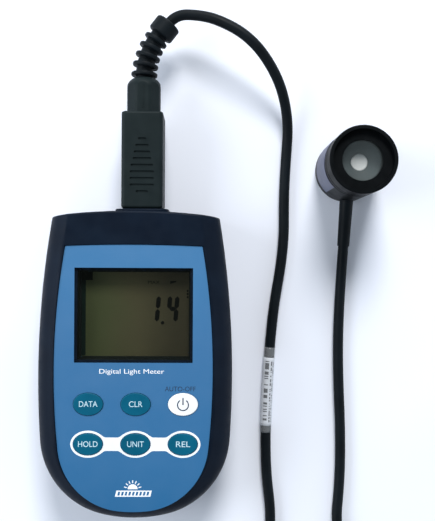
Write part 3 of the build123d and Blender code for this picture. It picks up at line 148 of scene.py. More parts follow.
def moulded(
    name, dark, light, rough=(0.42, 0.58), grain=2600, depth=0.25, distance=0.00006, specular=0.5
):
    """Moulded plastic: spark-eroded grain, slow colour drift and uneven gloss."""
    material, tree, shader, add = new_material(name)
    coords = add("ShaderNodeTexCoord").outputs["Object"]
    slow = noise(add, tree, coords, MOULDED_BLOTCH, 2.0)
    base = ramp(add, tree, slow.outputs["Fac"], [(0.3, dark), (0.7, light)])
    tree.links.new(base.outputs["Color"], shader.inputs["Base Color"])
    smudge = noise(add, tree, coords, MOULDED_BLOTCH * 4, 4.0)
    gloss = map_range(add, tree, smudge.outputs["Fac"], 0.3, 0.7, *rough)
    tree.links.new(gloss, shader.inputs["Roughness"])
    fine = noise(add, tree, coords, grain, 2.0)
    bump = add("ShaderNodeBump")
    bump.inputs["Strength"].default_value = depth
    bump.inputs["Distance"].default_value = distance
    tree.links.new(fine.outputs["Fac"], bump.inputs["Height"])
    tree.links.new(bump.outputs["Normal"], shader.inputs["Normal"])
    shader.inputs["Specular IOR Level"].default_value = specular
    return material


def dimmed(tint, share):
    """The same opaque colour with a share of its light."""
    return tuple(c * share for c in tint[:3]) + (1,)


def metal(name, tint, rough=(0.22, 0.4), brushed=900):
    """Bright metal with fine drawing marks."""
    material, tree, shader, add = new_material(name)
    coords = add("ShaderNodeTexCoord").outputs["Object"]
    stretch = add("ShaderNodeMapping")
    stretch.inputs["Scale"].default_value = (1.0, 0.12, 1.0)
    tree.links.new(coords, stretch.inputs["Vector"])
    marks = noise(add, tree, stretch.outputs["Vector"], brushed, 3.0)
    shade = ramp(add, tree, marks.outputs["Fac"], [(0.35, dimmed(tint, 0.8)), (0.65, tint)])
    tree.links.new(shade.outputs["Color"], shader.inputs["Base Color"])
    gloss = map_range(add, tree, marks.outputs["Fac"], 0.3, 0.7, *rough)
    tree.links.new(gloss, shader.inputs["Roughness"])
    shader.inputs["Metallic"].default_value = 1.0
    return material


def clear(name, tint, alpha, rough=0.04, grain=0.0, specular=0.5):
    """Thin clear plastic or glass, tinted and lightly marked."""
    material, tree, shader, add = new_material(name)
    coords = add("ShaderNodeTexCoord").outputs["Object"]
    haze = noise(add, tree, coords, 120, 3.0)
    shade = ramp(add, tree, haze.outputs["Fac"], [(0.3, tint), (0.7, dimmed(tint, 0.92))])
    tree.links.new(shade.outputs["Color"], shader.inputs["Base Color"])
    gloss = map_range(add, tree, haze.outputs["Fac"], 0.3, 0.7, rough, rough * 1.8)
    tree.links.new(gloss, shader.inputs["Roughness"])
    shader.inputs["Alpha"].default_value = alpha
    shader.inputs["IOR"].default_value = 1.49
    shader.inputs["Specular IOR Level"].default_value = specular
    if grain:
        fine = noise(add, tree, coords, 700, 2.0)
        bump = add("ShaderNodeBump")
        bump.inputs["Strength"].default_value = grain
        bump.inputs["Distance"].default_value = 0.0001
        tree.links.new(fine.outputs["Fac"], bump.inputs["Height"])
        tree.links.new(bump.outputs["Normal"], shader.inputs["Normal"])
    return material


def overlay_print():
    """Blue printed sheet: lighter at the top, a satin surface with a fine orange peel."""
    material, tree, shader, add = new_material("overlay_print")
    coords = add("ShaderNodeTexCoord").outputs["Object"]
    parts = add("ShaderNodeSeparateXYZ")
    tree.links.new(coords, parts.inputs["Vector"])
    drift = noise(add, tree, coords, 18, 2.0)
    warp = add("ShaderNodeMath", operation="MULTIPLY_ADD")
    tree.links.new(drift.outputs["Fac"], warp.inputs[0])
    warp.inputs[1].default_value = 0.02
    tree.links.new(parts.outputs["Y"], warp.inputs[2])
    low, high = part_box("keypad_overlay")
    place = map_range(add, tree, warp.outputs["Value"], low[1], high[1], 0.0, 1.0)
    stops = [
        (0.0, colour((30, 92, 138))),
        (0.3, colour((44, 101, 147))),
        (0.7, colour((53, 104, 149))),
        (1.0, colour((57, 110, 155))),
    ]
    tree.links.new(ramp(add, tree, place, stops).outputs["Color"], shader.inputs["Base Color"])
    smudge = noise(add, tree, coords, 90, 4.0)
    gloss = map_range(add, tree, smudge.outputs["Fac"], 0.3, 0.7, 0.36, 0.5)
    tree.links.new(gloss, shader.inputs["Roughness"])
    peel = noise(add, tree, coords, 1500, 2.0)
    bump = add("ShaderNodeBump")
    bump.inputs["Strength"].default_value = 0.12
    bump.inputs["Distance"].default_value = 0.00004
    tree.links.new(peel.outputs["Fac"], bump.inputs["Height"])
    tree.links.new(bump.outputs["Normal"], shader.inputs["Normal"])
    return material


def lcd_surface():
    """Olive grey display surface, greener to the left and browner to the right."""
    material, tree, shader, add = new_material("lcd_surface")
    coords = add("ShaderNodeTexCoord").outputs["Object"]
    parts = add("ShaderNodeSeparateXYZ")
    tree.links.new(coords, parts.inputs["Vector"])
    drift = noise(add, tree, coords, 35, 3.0)
    warp = add("ShaderNodeMath", operation="MULTIPLY_ADD")
    tree.links.new(drift.outputs["Fac"], warp.inputs[0])
    warp.inputs[1].default_value = 0.02
    tree.links.new(parts.outputs["X"], warp.inputs[2])
    low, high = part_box("lcd_glass")
    place = map_range(add, tree, warp.outputs["Value"], low[0], high[0], 0.0, 1.0)
    stops = [
        (0.0, colour((46, 54, 32))),
        (0.35, colour((60, 66, 42))),
        (0.7, colour((62, 60, 42))),
        (1.0, colour((46, 44, 32))),
    ]
    tree.links.new(ramp(add, tree, place, stops).outputs["Color"], shader.inputs["Base Color"])
    shader.inputs["Roughness"].default_value = 0.3
    shader.inputs["Specular IOR Level"].default_value = 0.2
    cells = noise(add, tree, coords, 2400, 1.0)
    bump = add("ShaderNodeBump")
    bump.inputs["Strength"].default_value = 0.05
    bump.inputs["Distance"].default_value = 0.00003
    tree.links.new(cells.outputs["Fac"], bump.inputs["Height"])
    tree.links.new(bump.outputs["Normal"], shader.inputs["Normal"])
    return material


def printed_label():
    """White film with printed bars and dashes, laid out along the label's own UV."""
    material, tree, shader, add = new_material("label_film")
    uv = add("ShaderNodeUVMap", uv_map="label").outputs["UV"]
    parts = add("ShaderNodeSeparateXYZ")
    tree.links.new(uv, parts.inputs["Vector"])
    along, around = parts.outputs["X"], parts.outputs["Y"]

    def math_node(operation, a, b):
        node = add("ShaderNodeMath", operation=operation)
        for index, value in enumerate((a, b)):
            if isinstance(value, float):
                node.inputs[index].default_value = value
            else:
                tree.links.new(value, node.inputs[index])
        return node.outputs["Value"]

    def random_cells(source, count, threshold):
        step = math_node("FLOOR", math_node("MULTIPLY", source, count), 0.0)
        white = add("ShaderNodeTexWhiteNoise", noise_dimensions="1D")
        tree.links.new(step, white.inputs["W"])
        return math_node("GREATER_THAN", white.outputs["Value"], threshold)

    def band(low, high):
        above = math_node("GREATER_THAN", around, low)
        return math_node("MULTIPLY", above, math_node("LESS_THAN", around, high))

    bars = math_node("MULTIPLY", random_cells(along, 64.0, 0.45), band(0.14, 0.26))
    marks = math_node("MULTIPLY", random_cells(along, 92.0, 0.38), band(0.315, 0.355))
    more = math_node("MULTIPLY", random_cells(along, 77.0, 0.42), band(0.385, 0.42))
    ink = math_node("MAXIMUM", bars, math_node("MAXIMUM", marks, more))
    begun = math_node("GREATER_THAN", along, 0.05)
    inside = math_node("MULTIPLY", begun, math_node("LESS_THAN", along, 0.95))
    mask = math_node("MULTIPLY", ink, inside)
    mix = ramp(add, tree, mask, [(0.0, colour((214, 218, 226))), (1.0, colour((40, 42, 48)))])
    tree.links.new(mix.outputs["Color"], shader.inputs["Base Color"])
    shader.inputs["Roughness"].default_value = 0.45
    return material


def woven(name, dark, light):
    """Hook-and-loop strap: a tight basket of threads."""
    material, tree, shader, add = new_material(name)
    coords = add("ShaderNodeTexCoord").outputs["Object"]
    waves = []
    for axis in ("X", "Y"):
        wave = add("ShaderNodeTexWave", wave_type="BANDS", bands_direction=axis)
        wave.inputs["Scale"].default_value = 420
        wave.inputs["Distortion"].default_value = 0.6
        tree.links.new(coords, wave.inputs["Vector"])
        waves.append(wave.outputs["Fac"])
    cross = add("ShaderNodeMath", operation="MULTIPLY")
    tree.links.new(waves[0], cross.inputs[0])
    tree.links.new(waves[1], cross.inputs[1])
    shade = ramp(add, tree, cross.outputs["Value"], [(0.0, dark), (0.8, light)])
    tree.links.new(shade.outputs["Color"], shader.inputs["Base Color"])
    shader.inputs["Roughness"].default_value = 0.9
    shader.inputs["Sheen Weight"].default_value = 0.4
    bump = add("ShaderNodeBump")
    bump.inputs["Strength"].default_value = 0.6
    bump.inputs["Distance"].default_value = 0.0002
    tree.links.new(cross.outputs["Value"], bump.inputs["Height"])
    tree.links.new(bump.outputs["Normal"], shader.inputs["Normal"])
    return material


def anodised(name, dark, light):
    """Black anodised turning: faint lathe lines round the head's axis."""
    material, tree, shader, add = new_material(name)
    coords = add("ShaderNodeTexCoord").outputs["Object"]
    stretch = add("ShaderNodeMapping")
    stretch.inputs["Scale"].default_value = (0.05, 0.05, 1.0)
    tree.links.new(coords, stretch.inputs["Vector"])
    lathe = noise(add, tree, stretch.outputs["Vector"], 5200, 2.0)
    slow = noise(add, tree, coords, 150, 3.0)
    shade = ramp(add, tree, slow.outputs["Fac"], [(0.3, dark), (0.7, light)])
    tree.links.new(shade.outputs["Color"], shader.inputs["Base Color"])
    gloss = map_range(add, tree, slow.outputs["Fac"], 0.3, 0.7, 0.38, 0.52)
    tree.links.new(gloss, shader.inputs["Roughness"])
    shader.inputs["Specular IOR Level"].default_value = 0.08
    bump = add("ShaderNodeBump")
    bump.inputs["Strength"].default_value = 0.25
    bump.inputs["Distance"].default_value = 0.00003
    tree.links.new(lathe.outputs["Fac"], bump.inputs["Height"])
    tree.links.new(bump.outputs["Normal"], shader.inputs["Normal"])
    return material


def make_materials():
    """Every material of the object, by the record's slot or by its own name."""
    cable_dark, cable_light = colour((10, 15, 19)), colour((16, 23, 28))
    return {
        "case_plastic": moulded(
            "case_plastic", colour((9, 18, 31)), colour((14, 25, 39)), (0.4, 0.55), specular=0.07
        ),
        "overlay_print": overlay_print(),
        "clear_window": clear("clear_window", colour((40, 46, 42)), 0.04, 0.03, specular=0.15),
        "black_plastic": moulded(
            "black_plastic", colour((8, 14, 13)), colour((14, 20, 18)), (0.5, 0.65), specular=0.1
        ),
        "lcd_glass": lcd_surface(),
        "reflector": moulded("reflector", colour((110, 112, 80)), colour((124, 124, 92)), (0.5, 0.6)),
        "soft_rubber": moulded("soft_rubber", colour((150, 110, 112)), colour((172, 128, 128)), (0.6, 0.75)),
        "contact_metal": metal("contact_metal", colour((196, 196, 192))),
        "board_green": moulded("board_green", colour((14, 74, 40)), colour((22, 96, 54)), (0.25, 0.4), 500),
        "chip_black": moulded("chip_black", colour((26, 26, 28)), colour((38, 38, 40)), (0.45, 0.6)),
        "can_metal": metal("can_metal", colour((205, 205, 200)), (0.18, 0.3)),
        "screw_steel": metal("screw_steel", colour((182, 184, 186)), (0.25, 0.42)),
        "brass": metal("brass", colour((196, 160, 88)), (0.22, 0.36)),
        "pin_gold": metal("pin_gold", colour((222, 182, 96)), (0.15, 0.25)),
        "module_plastic": moulded(
            "module_plastic",
            colour((22, 30, 32)),
            colour((29, 38, 40)),
            (0.4, 0.55),
            2200,
            0.35,
            specular=0.08,
        ),
        "cable_rubber": moulded(
            "cable_rubber", cable_dark, cable_light, (0.42, 0.58), 900, 0.2, 0.00008, specular=0.1
        ),
        "tie_fabric": woven("tie_fabric", colour((10, 10, 12)), colour((44, 44, 48))),
        "label_paper": printed_label(),
        "clear_sleeve": clear("clear_sleeve", colour((205, 210, 215)), 0.22, 0.12, 0.15),
        "head_black": anodised("head_black", colour((4, 7, 9)), colour((8, 11, 14))),
        "lens_glass": clear("lens_glass", colour((110, 120, 122)), 0.12, 0.05, specular=0.3),
        "holder_grey": moulded(
            "holder_grey", colour((58, 67, 69)), colour((76, 86, 88)), (0.5, 0.65), specular=0.2
        ),
        "diffuser_white": moulded(
            "diffuser_white", colour((240, 246, 246)), colour((248, 251, 250)), (0.4, 0.5)
        ),
        "filter_glass": clear("filter_glass", colour((120, 190, 110)), 0.6, 0.05),
        "head_label": moulded(
            "head_label", colour((84, 88, 108)), colour((98, 103, 126)), (0.4, 0.5), 900, 0.1, specular=0.2
        ),
        "cell_wrap": moulded(
            "cell_wrap", colour((96, 102, 108)), colour((120, 126, 132)), (0.25, 0.4), 900, 0.1
        ),
        "key_teal": moulded(
            "key_teal", colour((0, 78, 104)), colour((3, 88, 116)), (0.4, 0.5), 2400, 0.2, specular=0.15
        ),
        "key_white": moulded(
            "key_white", colour((222, 226, 230)), colour((238, 240, 242)), (0.36, 0.48), 2400, 0.15
        ),
        "white_ink": moulded("white_ink", colour((226, 230, 236)), colour((240, 242, 246)), (0.45, 0.6)),
        "key_ink": moulded("key_ink", colour((176, 208, 222)), colour((196, 222, 232)), (0.45, 0.6)),
        "dark_ink": moulded("dark_ink", colour((20, 40, 66)), colour((28, 48, 74)), (0.45, 0.6)),
        "segment_ink": moulded(
            "segment_ink", colour((2, 3, 2)), colour((5, 6, 4)), (0.5, 0.6), specular=0.05
        ),
        # Dark green of the painted shadow that the window's left wall throws on the display's left edge.
        "painted_wall_shadow_ink": moulded("painted_wall_shadow_ink", colour((8, 20, 17)), colour((12, 26, 22)), (0.3, 0.4), specular=0.1),
    }


MATERIALS = make_materials()


def paint_cad_nodes():
    """Gives every carried CAD node the material of its slot."""
    for part in frame["record"]["subparts"]:
        node = frame["nodes"][part["node"]]
        node.data.materials.clear()
        node.data.materials.append(MATERIALS[part["material_slot"]])


paint_cad_nodes()


# ----------------------------------------------------------------------- mesh-making aids
def link(name, data):
    """New object in the scene."""
    item = bpy.data.objects.new(name, data)
    bpy.context.collection.objects.link(item)
    return item


def as_mesh(source, name, material):
    """Replaces a curve or text object by its mesh."""
    bpy.context.view_layer.update()
    mesh = bpy.data.meshes.new_from_object(source.evaluated_get(bpy.context.evaluated_depsgraph_get()))
    mesh.transform(source.matrix_world)
    data = source.data
    bpy.data.objects.remove(source)
    bpy.data.curves.remove(data)
    mesh.name = name
    mesh.materials.clear()
    mesh.materials.append(material)
    return link(name, mesh)


INK_MM = 0.02


def flat_print(name, outlines, z, material, thickness=INK_MM):
    """Thin printed shape from closed outlines in millimetres; an outline inside another is a hole."""
    curve = bpy.data.curves.new(name, "CURVE")
    curve.dimensions = "2D"
    curve.fill_mode = "BOTH"
    curve.extrude = thickness * MM / 2
    for outline in outlines:
        spline = curve.splines.new("POLY")
        spline.points.add(len(outline) - 1)
        for point, (x, y) in zip(spline.points, outline):
            point.co = (x * MM, y * MM, 0, 1)
        spline.use_cyclic_u = True
    item = link(name + "_curve", curve)
    item.location = (0, 0, (z + thickness / 2) * MM)
    return as_mesh(item, name, material)


def printed_text(name, words, x, y, z, size, width, material, thickness=INK_MM):
    """Printed words centred on x, y and fitted to a width, all in millimetres."""
    curve = bpy.data.curves.new(name, "FONT")
    curve.body = words
    curve.align_x = "CENTER"
    curve.align_y = "CENTER"
    curve.size = size * MM
    curve.extrude = thickness * MM / 2
    curve.resolution_u = 6
    item = link(name + "_text", curve)
    bpy.context.view_layer.update()
    item.scale = (width * MM / item.dimensions.x, 1, 1)
    item.location = mm(x, y, z + thickness / 2)
    return as_mesh(item, name, material)


def ellipse(x, y, half_w, half_h, count=72):
    """Closed elliptical outline."""
    turns = [2 * math.pi * i / count for i in range(count)]
    return [(x + half_w * math.cos(a), y + half_h * math.sin(a)) for a in turns]


def rectangle(x0, y0, x1, y1):
    """Closed rectangular outline."""
    return [(x0, y0), (x1, y0), (x1, y1), (x0, y1)]


def slanted(outline, slope, base_y):
    """Outline leaned to the right about a base line."""
    return [(x + slope * (y - base_y), y) for x, y in outline]


# -------------------------------------------------------------------------------- cable
CABLE_DIAMETER_MM = 5.0
LABEL_AXIS_Z = 2.9
ROUTE_TO_METER = [
    (13.992, 158.274, 17.0),
    (17.317, 162.529, 17.0),
    (29.0, 161.5, 19.0),
    (37.5, 158.7, 21.0),
    (49.2, 152.5, 21.5),
    (58.8, 143.4, 19.0),
    (67.3, 130.2, 12.5),
    (71.4, 114.3, 4.6),
    (70.5, 97.8, 2.5),
    (69.5, 80.5, 2.5),
    (69.7, 53.1, 2.7),
    (63.3, 17.6, LABEL_AXIS_Z),
    (60.2, -46.4, LABEL_AXIS_Z),
    (65.2, -83.0, 2.5),
    (56.7, -106.0, 2.6),
]
ROUTE_TO_HEAD = [
    (98.3, 54.9, 4.2),
    (97.78, 42.9, 2.52),
    (96.3, 17.5, 2.5),
    (96.3, -6.8, 2.5),
    (97.7, -36.4, 2.5),
    (97.4, -60.0, 2.5),
    (95.2, -82.3, 2.5),
    (103.3, -106.0, 4.5),
]
COIL_CENTRE = (80.4, -132.0)
COIL_LANES = [(34.0, 3.3), (29.0, 3.3), (24.0, 3.3), (24.0, 8.3), (29.0, 8.3), (34.0, 8.3)]
COIL_TURNS = 5.5
POINTS_PER_TURN = 16
LANE_CHANGE = 0.3
# A smooth curve passes inside its control points, so they stand this much further out
POINTS_OUTSIDE = 1.019
LOOSENESS_MM = 0.15
LOOSENESS_RATE = 5.1


def coil_points():
    """Control points of the coil: three lanes inwards, then three outwards on top of them."""
    points = []
    for index in range(int(COIL_TURNS * POINTS_PER_TURN) + 1):
        turn = index / POINTS_PER_TURN
        lane = min(int(turn), len(COIL_LANES) - 1)
        after = min(lane + 1, len(COIL_LANES) - 1)
        share = max(0.0, (turn - lane - (1 - LANE_CHANGE)) / LANE_CHANGE)
        share = share * share * (3 - 2 * share)
        radius = COIL_LANES[lane][0] * (1 - share) + COIL_LANES[after][0] * share
        z = COIL_LANES[lane][1] * (1 - share) + COIL_LANES[after][1] * share
        radius = radius * POINTS_OUTSIDE + LOOSENESS_MM * math.sin(LOOSENESS_RATE * turn)
        angle = math.pi + 2 * math.pi * turn
        x = COIL_CENTRE[0] + radius * math.cos(angle)
        points.append((x, COIL_CENTRE[1] + radius * math.sin(angle), z))
    return points


def make_cable():
    """The whole cable as one smooth curve, from the strain relief to the sensor head."""
    points = ROUTE_TO_METER + coil_points() + list(reversed(ROUTE_TO_HEAD))
    curve = bpy.data.curves.new("cable", "CURVE")
    curve.dimensions = "3D"
    spline = curve.splines.new("NURBS")
    spline.points.add(len(points) - 1)
    for point, place in zip(spline.points, points):
        point.co = mm(*place) + (1,)
    spline.order_u = 3
    spline.use_endpoint_u = True
    spline.resolution_u = 12
    curve.bevel_depth = CABLE_DIAMETER_MM / 2 * MM
    curve.bevel_resolution = 6
    curve.use_fill_caps = True
    curve.materials.append(MATERIALS["cable_rubber"])
    return link("cable", curve)


def centreline(cable):
    """Points of the cable's own smooth line, in millimetres."""
    copy = cable.data.copy()
    copy.bevel_depth = 0
    copy.use_fill_caps = False
    item = link("centreline", copy)
    bpy.context.view_layer.update()
    mesh = bpy.data.meshes.new_from_object(item.evaluated_get(bpy.context.evaluated_depsgraph_get()))
    line = [Vector(v.co) / MM for v in mesh.vertices]
    bpy.data.objects.remove(item)
    bpy.data.curves.remove(copy)
    bpy.data.meshes.remove(mesh)
    return line


METER_SIDE_X = 80
LYING_Z = 4


def stretch_between(line, high_y, low_y):
    """Part of the line from one Y to another on its way down beside the meter, with exact ends."""
    found = []
    for a, b in zip(line, line[1:]):
        if not (a.y > b.y and a.x < METER_SIDE_X and a.z < LYING_Z):
            continue
        if a.y > high_y >= b.y:
            found.append(a.lerp(b, (a.y - high_y) / (a.y - b.y)))
        if high_y > b.y > low_y:
            found.append(b.copy())
        if a.y > low_y >= b.y and found:
            found.append(a.lerp(b, (a.y - low_y) / (a.y - b.y)))
            break
    return found


def skin_on(name, line, radii, material, segments=40):
    """Tube mesh round a line; radii has one value for each share of the way along."""
    lengths = [0.0]
    for a, b in zip(line, line[1:]):
        lengths.append(lengths[-1] + (b - a).length)
    vertices, faces, uvs = [], [], []
    total = lengths[-1]
    rings = []
    for share, radius in radii:
        goal = share * total
        beyond = next((i for i, s in enumerate(lengths) if s > goal), len(line) - 1)
        index = max(0, min(len(line) - 2, beyond - 1))
        span = lengths[index + 1] - lengths[index]
        place = line[index].lerp(line[index + 1], (goal - lengths[index]) / span)
        along = (line[index + 1] - line[index]).normalized()
        side = along.cross(Vector((0, 0, 1))).normalized()
        up = side.cross(along)
        rings.append((place, side, up, radius, share))
    for place, side, up, radius, share in rings:
        for step in range(segments):
            angle = 2 * math.pi * step / segments
            spot = place + side * (radius * math.cos(angle)) + up * (radius * math.sin(angle))
            vertices.append(tuple(spot * MM))
    for ring in range(len(rings) - 1):
        for step in range(segments):
            after = (step + 1) % segments
            a, b = ring * segments + step, ring * segments + after
            faces.append((a, b, b + segments, a + segments))
            u0, u1 = rings[ring][4], rings[ring + 1][4]
            v0, v1 = step / segments, (step + 1) / segments
            uvs += [(u0, v0), (u0, v1), (u1, v1), (u1, v0)]
    mesh = bpy.data.meshes.new(name)
    mesh.from_pydata(vertices, [], faces)
    layer = mesh.uv_layers.new(name="label")
    for loop, uv in zip(layer.data, uvs):
        loop.uv = uv
    for face in mesh.polygons:
        face.use_smooth = True
    mesh.materials.append(material)
    return link(name, mesh)


SLEEVE_ENDS_Y = (5.5, -35.6)
LABEL_ENDS_Y = (0.6, -32.2)
LABEL_RADIUS_MM = 2.66
LABEL_RINGS = 24
LABEL_SUNK_MM = 0.05
SLEEVE_RADIUS_MM = 2.86
SLEEVE_RINGS = 40
SLEEVE_CLEAR_MM = 0.02
SLEEVE_SWELL_MM = 0.05
SLEEVE_SHRINK_MM = 0.16
SLEEVE_LOOSE = (0.12, 0.92)


def make_cable_label(cable):
    """Printed label and the clear shrunk sleeve over it, following the cable."""
    line = centreline(cable)
    label_line = stretch_between(line, *LABEL_ENDS_Y)
    shares = [i / LABEL_RINGS for i in range(LABEL_RINGS + 1)]
    sunk = CABLE_DIAMETER_MM / 2 - LABEL_SUNK_MM
    label_radii = [(0.0, sunk)] + [(s, LABEL_RADIUS_MM) for s in shares] + [(1.0, sunk)]
    label = skin_on("cable_label_film", label_line, label_radii, MATERIALS["label_paper"])
    sleeve_line = stretch_between(line, *SLEEVE_ENDS_Y)
    mouth = CABLE_DIAMETER_MM / 2 + SLEEVE_CLEAR_MM
    radii = [(0.0, mouth)]
    for s in [i / SLEEVE_RINGS for i in range(SLEEVE_RINGS + 1)]:
        swell = SLEEVE_SWELL_MM * math.sin(23 * s) * math.sin(9 * s + 1)
        shrink = SLEEVE_SHRINK_MM * (1 if s < SLEEVE_LOOSE[0] or s > SLEEVE_LOOSE[1] else 0)
        radii.append((s, SLEEVE_RADIUS_MM + swell - shrink))
    radii.append((1.0, mouth))
    sleeve = skin_on("cable_label_sleeve", sleeve_line, radii, MATERIALS["clear_sleeve"])
    return label, sleeve


def make_cords():
    """Cable, label and sleeve, attached to the probe's body, with the CAD cable, label and sleeve nodes
    hidden.
    """
    cable = make_cable()
    label, sleeve = make_cable_label(cable)
    for piece in (cable, label, sleeve):
        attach(piece, "probe")
    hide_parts("cable_to_meter", "cable_to_head", "cable_coil")
    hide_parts("cable_label")
    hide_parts("label_sleeve")


make_cords()


# --------------------------------------------------------------------- printing on the overlay
OVERLAY_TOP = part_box("keypad_overlay")[1][2] / MM
KEY_NODES = {
    "key_data": "DATA",
    "key_clear": "CLR",
    "key_power": None,
    "key_hold": "HOLD",
    "key_unit": "UNIT",
    "key_relative": "REL",
}


def key_box(name):
    """Middle of a key cap and the level of its top, in millimetres."""
    low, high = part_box(name)
    x, y = [(a + b) / 2 / MM for a, b in zip(low[:2], high[:2])]
    return x, y, high[2] / MM


OUTLINE_HALF_W = 7.75
OUTLINE_HALF_H = 5.95
HOLE_HALF_W = 6.75
HOLE_HALF_H = 5.0
BRIDGE_HALF = 2.95
BRIDGE_SOFTNESS = 1.6
OUTLINE_STEPS = 160


def make_key_surround():
    """White line round the lower row of keys, joined by waisted bridges."""
    names = ("key_hold", "key_unit", "key_relative")
    centres = [key_box(name)[:2] for name in names]
    middle_y = centres[0][1]
    left = centres[0][0] - OUTLINE_HALF_W
    right = centres[-1][0] + OUTLINE_HALF_W
    upper = []
    for index in range(OUTLINE_STEPS + 1):
        x = (left + right) / 2 - (right - left) / 2 * math.cos(math.pi * index / OUTLINE_STEPS)
        heights = []
        for cx, _ in centres:
            share = (x - cx) / OUTLINE_HALF_W
            heights.append(OUTLINE_HALF_H * math.sqrt(1 - share * share) if abs(share) < 1 else 0.0)
        height = max(heights)
        if centres[0][0] < x < centres[-1][0]:
            soft = BRIDGE_SOFTNESS
            height = math.log(math.exp(height * soft) + math.exp(BRIDGE_HALF * soft)) / soft
            height = min(height, OUTLINE_HALF_H)
        upper.append((x, middle_y + height))
    lower = [(x, 2 * middle_y - y) for x, y in reversed(upper[1:-1])]
    holes = [ellipse(cx, cy, HOLE_HALF_W, HOLE_HALF_H) for cx, cy in centres]
    return flat_print("key_surround_print", [upper + lower] + holes, OVERLAY_TOP, MATERIALS["white_ink"])


EMBLEM_PLACE = (0.0, -53.6)
SUN_RADIUS = 2.2
RAY_SPAN = (2.7, 3.9)
RAY_HALF_WIDTH = 0.22
RAY_COUNT = 7


def make_emblem():
    """Plain white emblem: a rising half disc with rays over a ruled band."""
    x, y = EMBLEM_PLACE
    turns = [math.pi - math.pi * i / 20 for i in range(21)]
    outlines = [[(x + SUN_RADIUS * math.cos(a), y + SUN_RADIUS * math.sin(a)) for a in turns]]
    for index in range(RAY_COUNT):
        angle = math.radians(15 + 25 * index)
        across = Vector((-math.sin(angle), math.cos(angle))) * RAY_HALF_WIDTH
        out = Vector((math.cos(angle), math.sin(angle)))
        near, far = [Vector((x, y)) + out * distance for distance in RAY_SPAN]
        corners = (near + across, far + across, far - across, near - across)
        outlines.append([tuple(corner) for corner in corners])
    band = rectangle(x - 7.8, y - 3.3, x + 7.8, y - 0.6)
    outlines.append(slanted(band, 0.25, y - 3.3))
    for index in range(9):
        left = x - 6.9 + 1.6 * index
        outlines.append(slanted(rectangle(left, y - 2.8, left + 0.95, y - 1.1), 0.25, y - 3.3))
    return flat_print("front_emblem", outlines, OVERLAY_TOP, MATERIALS["white_ink"])


TITLE_X = -0.8
TITLE_BELOW = 4.0
TITLE_SIZE = (2.9, 28.6)
AUTO_OFF_LEFT = 1.2
AUTO_OFF_ABOVE = 6.7
AUTO_OFF_SIZE = (3.0, 13.6)


def make_overlay_printing():
    """Everything printed on the blue sheet."""
    title_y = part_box("display_window")[0][1] / MM - TITLE_BELOW
    power_x, power_y, _ = key_box("key_power")
    title_at = (TITLE_X, title_y, OVERLAY_TOP)
    auto_off_at = (power_x - AUTO_OFF_LEFT, power_y + AUTO_OFF_ABOVE, OVERLAY_TOP)
    pieces = [
        make_key_surround(),
        make_emblem(),
        printed_text("title_print", "Digital Light Meter", *title_at, *TITLE_SIZE, MATERIALS["white_ink"]),
        printed_text("auto_off_print", "AUTO-OFF", *auto_off_at, *AUTO_OFF_SIZE, MATERIALS["dark_ink"]),
    ]
    for piece in pieces:
        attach(piece, "meter")


POWER_RING = (2.65, 2.15)
POWER_GAP = math.radians(34)
POWER_BELOW = 0.2
POWER_BAR = (0.26, 2.95)


def make_power_symbol(x, y, z):
    """Broken ring with a bar through its gap."""
    outer, inner = POWER_RING
    middle_y = y - POWER_BELOW
    turns = [math.pi / 2 + POWER_GAP + (2 * math.pi - 2 * POWER_GAP) * i / 40 for i in range(41)]
    ring = [(x + outer * math.cos(a), middle_y + outer * math.sin(a)) for a in turns]
    ring += [(x + inner * math.cos(a), middle_y + inner * math.sin(a)) for a in reversed(turns)]
    half, top = POWER_BAR
    bar = rectangle(x - half, middle_y, x + half, y + top)
    return flat_print("key_power_symbol", [ring, bar], z, MATERIALS["dark_ink"])


def make_key_legends():
    """White words on the teal keys, and the power symbol."""
    widths = {"DATA": 8.1, "CLR": 6.0, "HOLD": 8.6, "UNIT": 7.3, "REL": 6.2}
    for node, words in KEY_NODES.items():
        x, y, top = key_box(node)
        if words is None:
            piece = make_power_symbol(x, y, top)
        else:
            name = node + "_legend"
            piece = printed_text(name, words, x, y, top, 3.6, widths[words], MATERIALS["key_ink"])
        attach(piece, node + "_cap")


make_overlay_printing()
make_key_legends()


# ------------------------------------------------------------------------------ display
LCD_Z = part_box("lcd_glass")[1][2] / MM
DIGIT_LOW_Y = 18.6
DIGIT_HEIGHT = 13.6
DIGIT_WIDTH = 5.3
STROKE = 2.0
LEAN = 0.08
ONE_RIGHT_X = 10.6
FOUR_LEFT_X = 13.7
POINT_X = 12.3
POINT_RADIUS = 0.8
# Painted shadow: a dark strip on the display's left edge stands for the shade of the window's left wall. The
# dark block above it is a painted reflection.
SHADE_AND_REFLECTION_LEFT_X = -24.6
WALL_SHADOW_LOW_Y = 4.2
WALL_SHADOW_RIGHT_X = -22.4
REFLECTION_LOW_Y = 38.3
REFLECTION_RIGHT_X = -19.3
REFLECTION_HIGH_Y = 42.6


def segment(x0, y0, x1, y1, width=STROKE, gap=0.06):
    """One six-sided bar of a seven-segment digit, between two nodes."""
    along = Vector((x1 - x0, y1 - y0)).normalized()
    across = Vector((-along.y, along.x)) * (width / 2)
    a = Vector((x0, y0)) + along * gap
    b = Vector((x1, y1)) - along * gap
    tip = along * (width / 2)
    points = [a, a + tip + across, b - tip + across, b, b - tip - across, a + tip - across]
    return [tuple(p) for p in points]


def digit(name, x, y):
    """Lit bars of one digit whose lower left corner is at x, y."""
    w, h = DIGIT_WIDTH - STROKE, DIGIT_HEIGHT - STROKE
    x, y = x + STROKE / 2, y + STROKE / 2
    nodes = {
        "a": (x, y + h, x + w, y + h),
        "b": (x + w, y + h / 2, x + w, y + h),
        "c": (x + w, y, x + w, y + h / 2),
        "d": (x, y, x + w, y),
        "e": (x, y, x, y + h / 2),
        "f": (x, y + h / 2, x, y + h),
        "g": (x, y + h / 2, x + w, y + h / 2),
    }
    return [segment(*nodes[bar]) for bar in name]


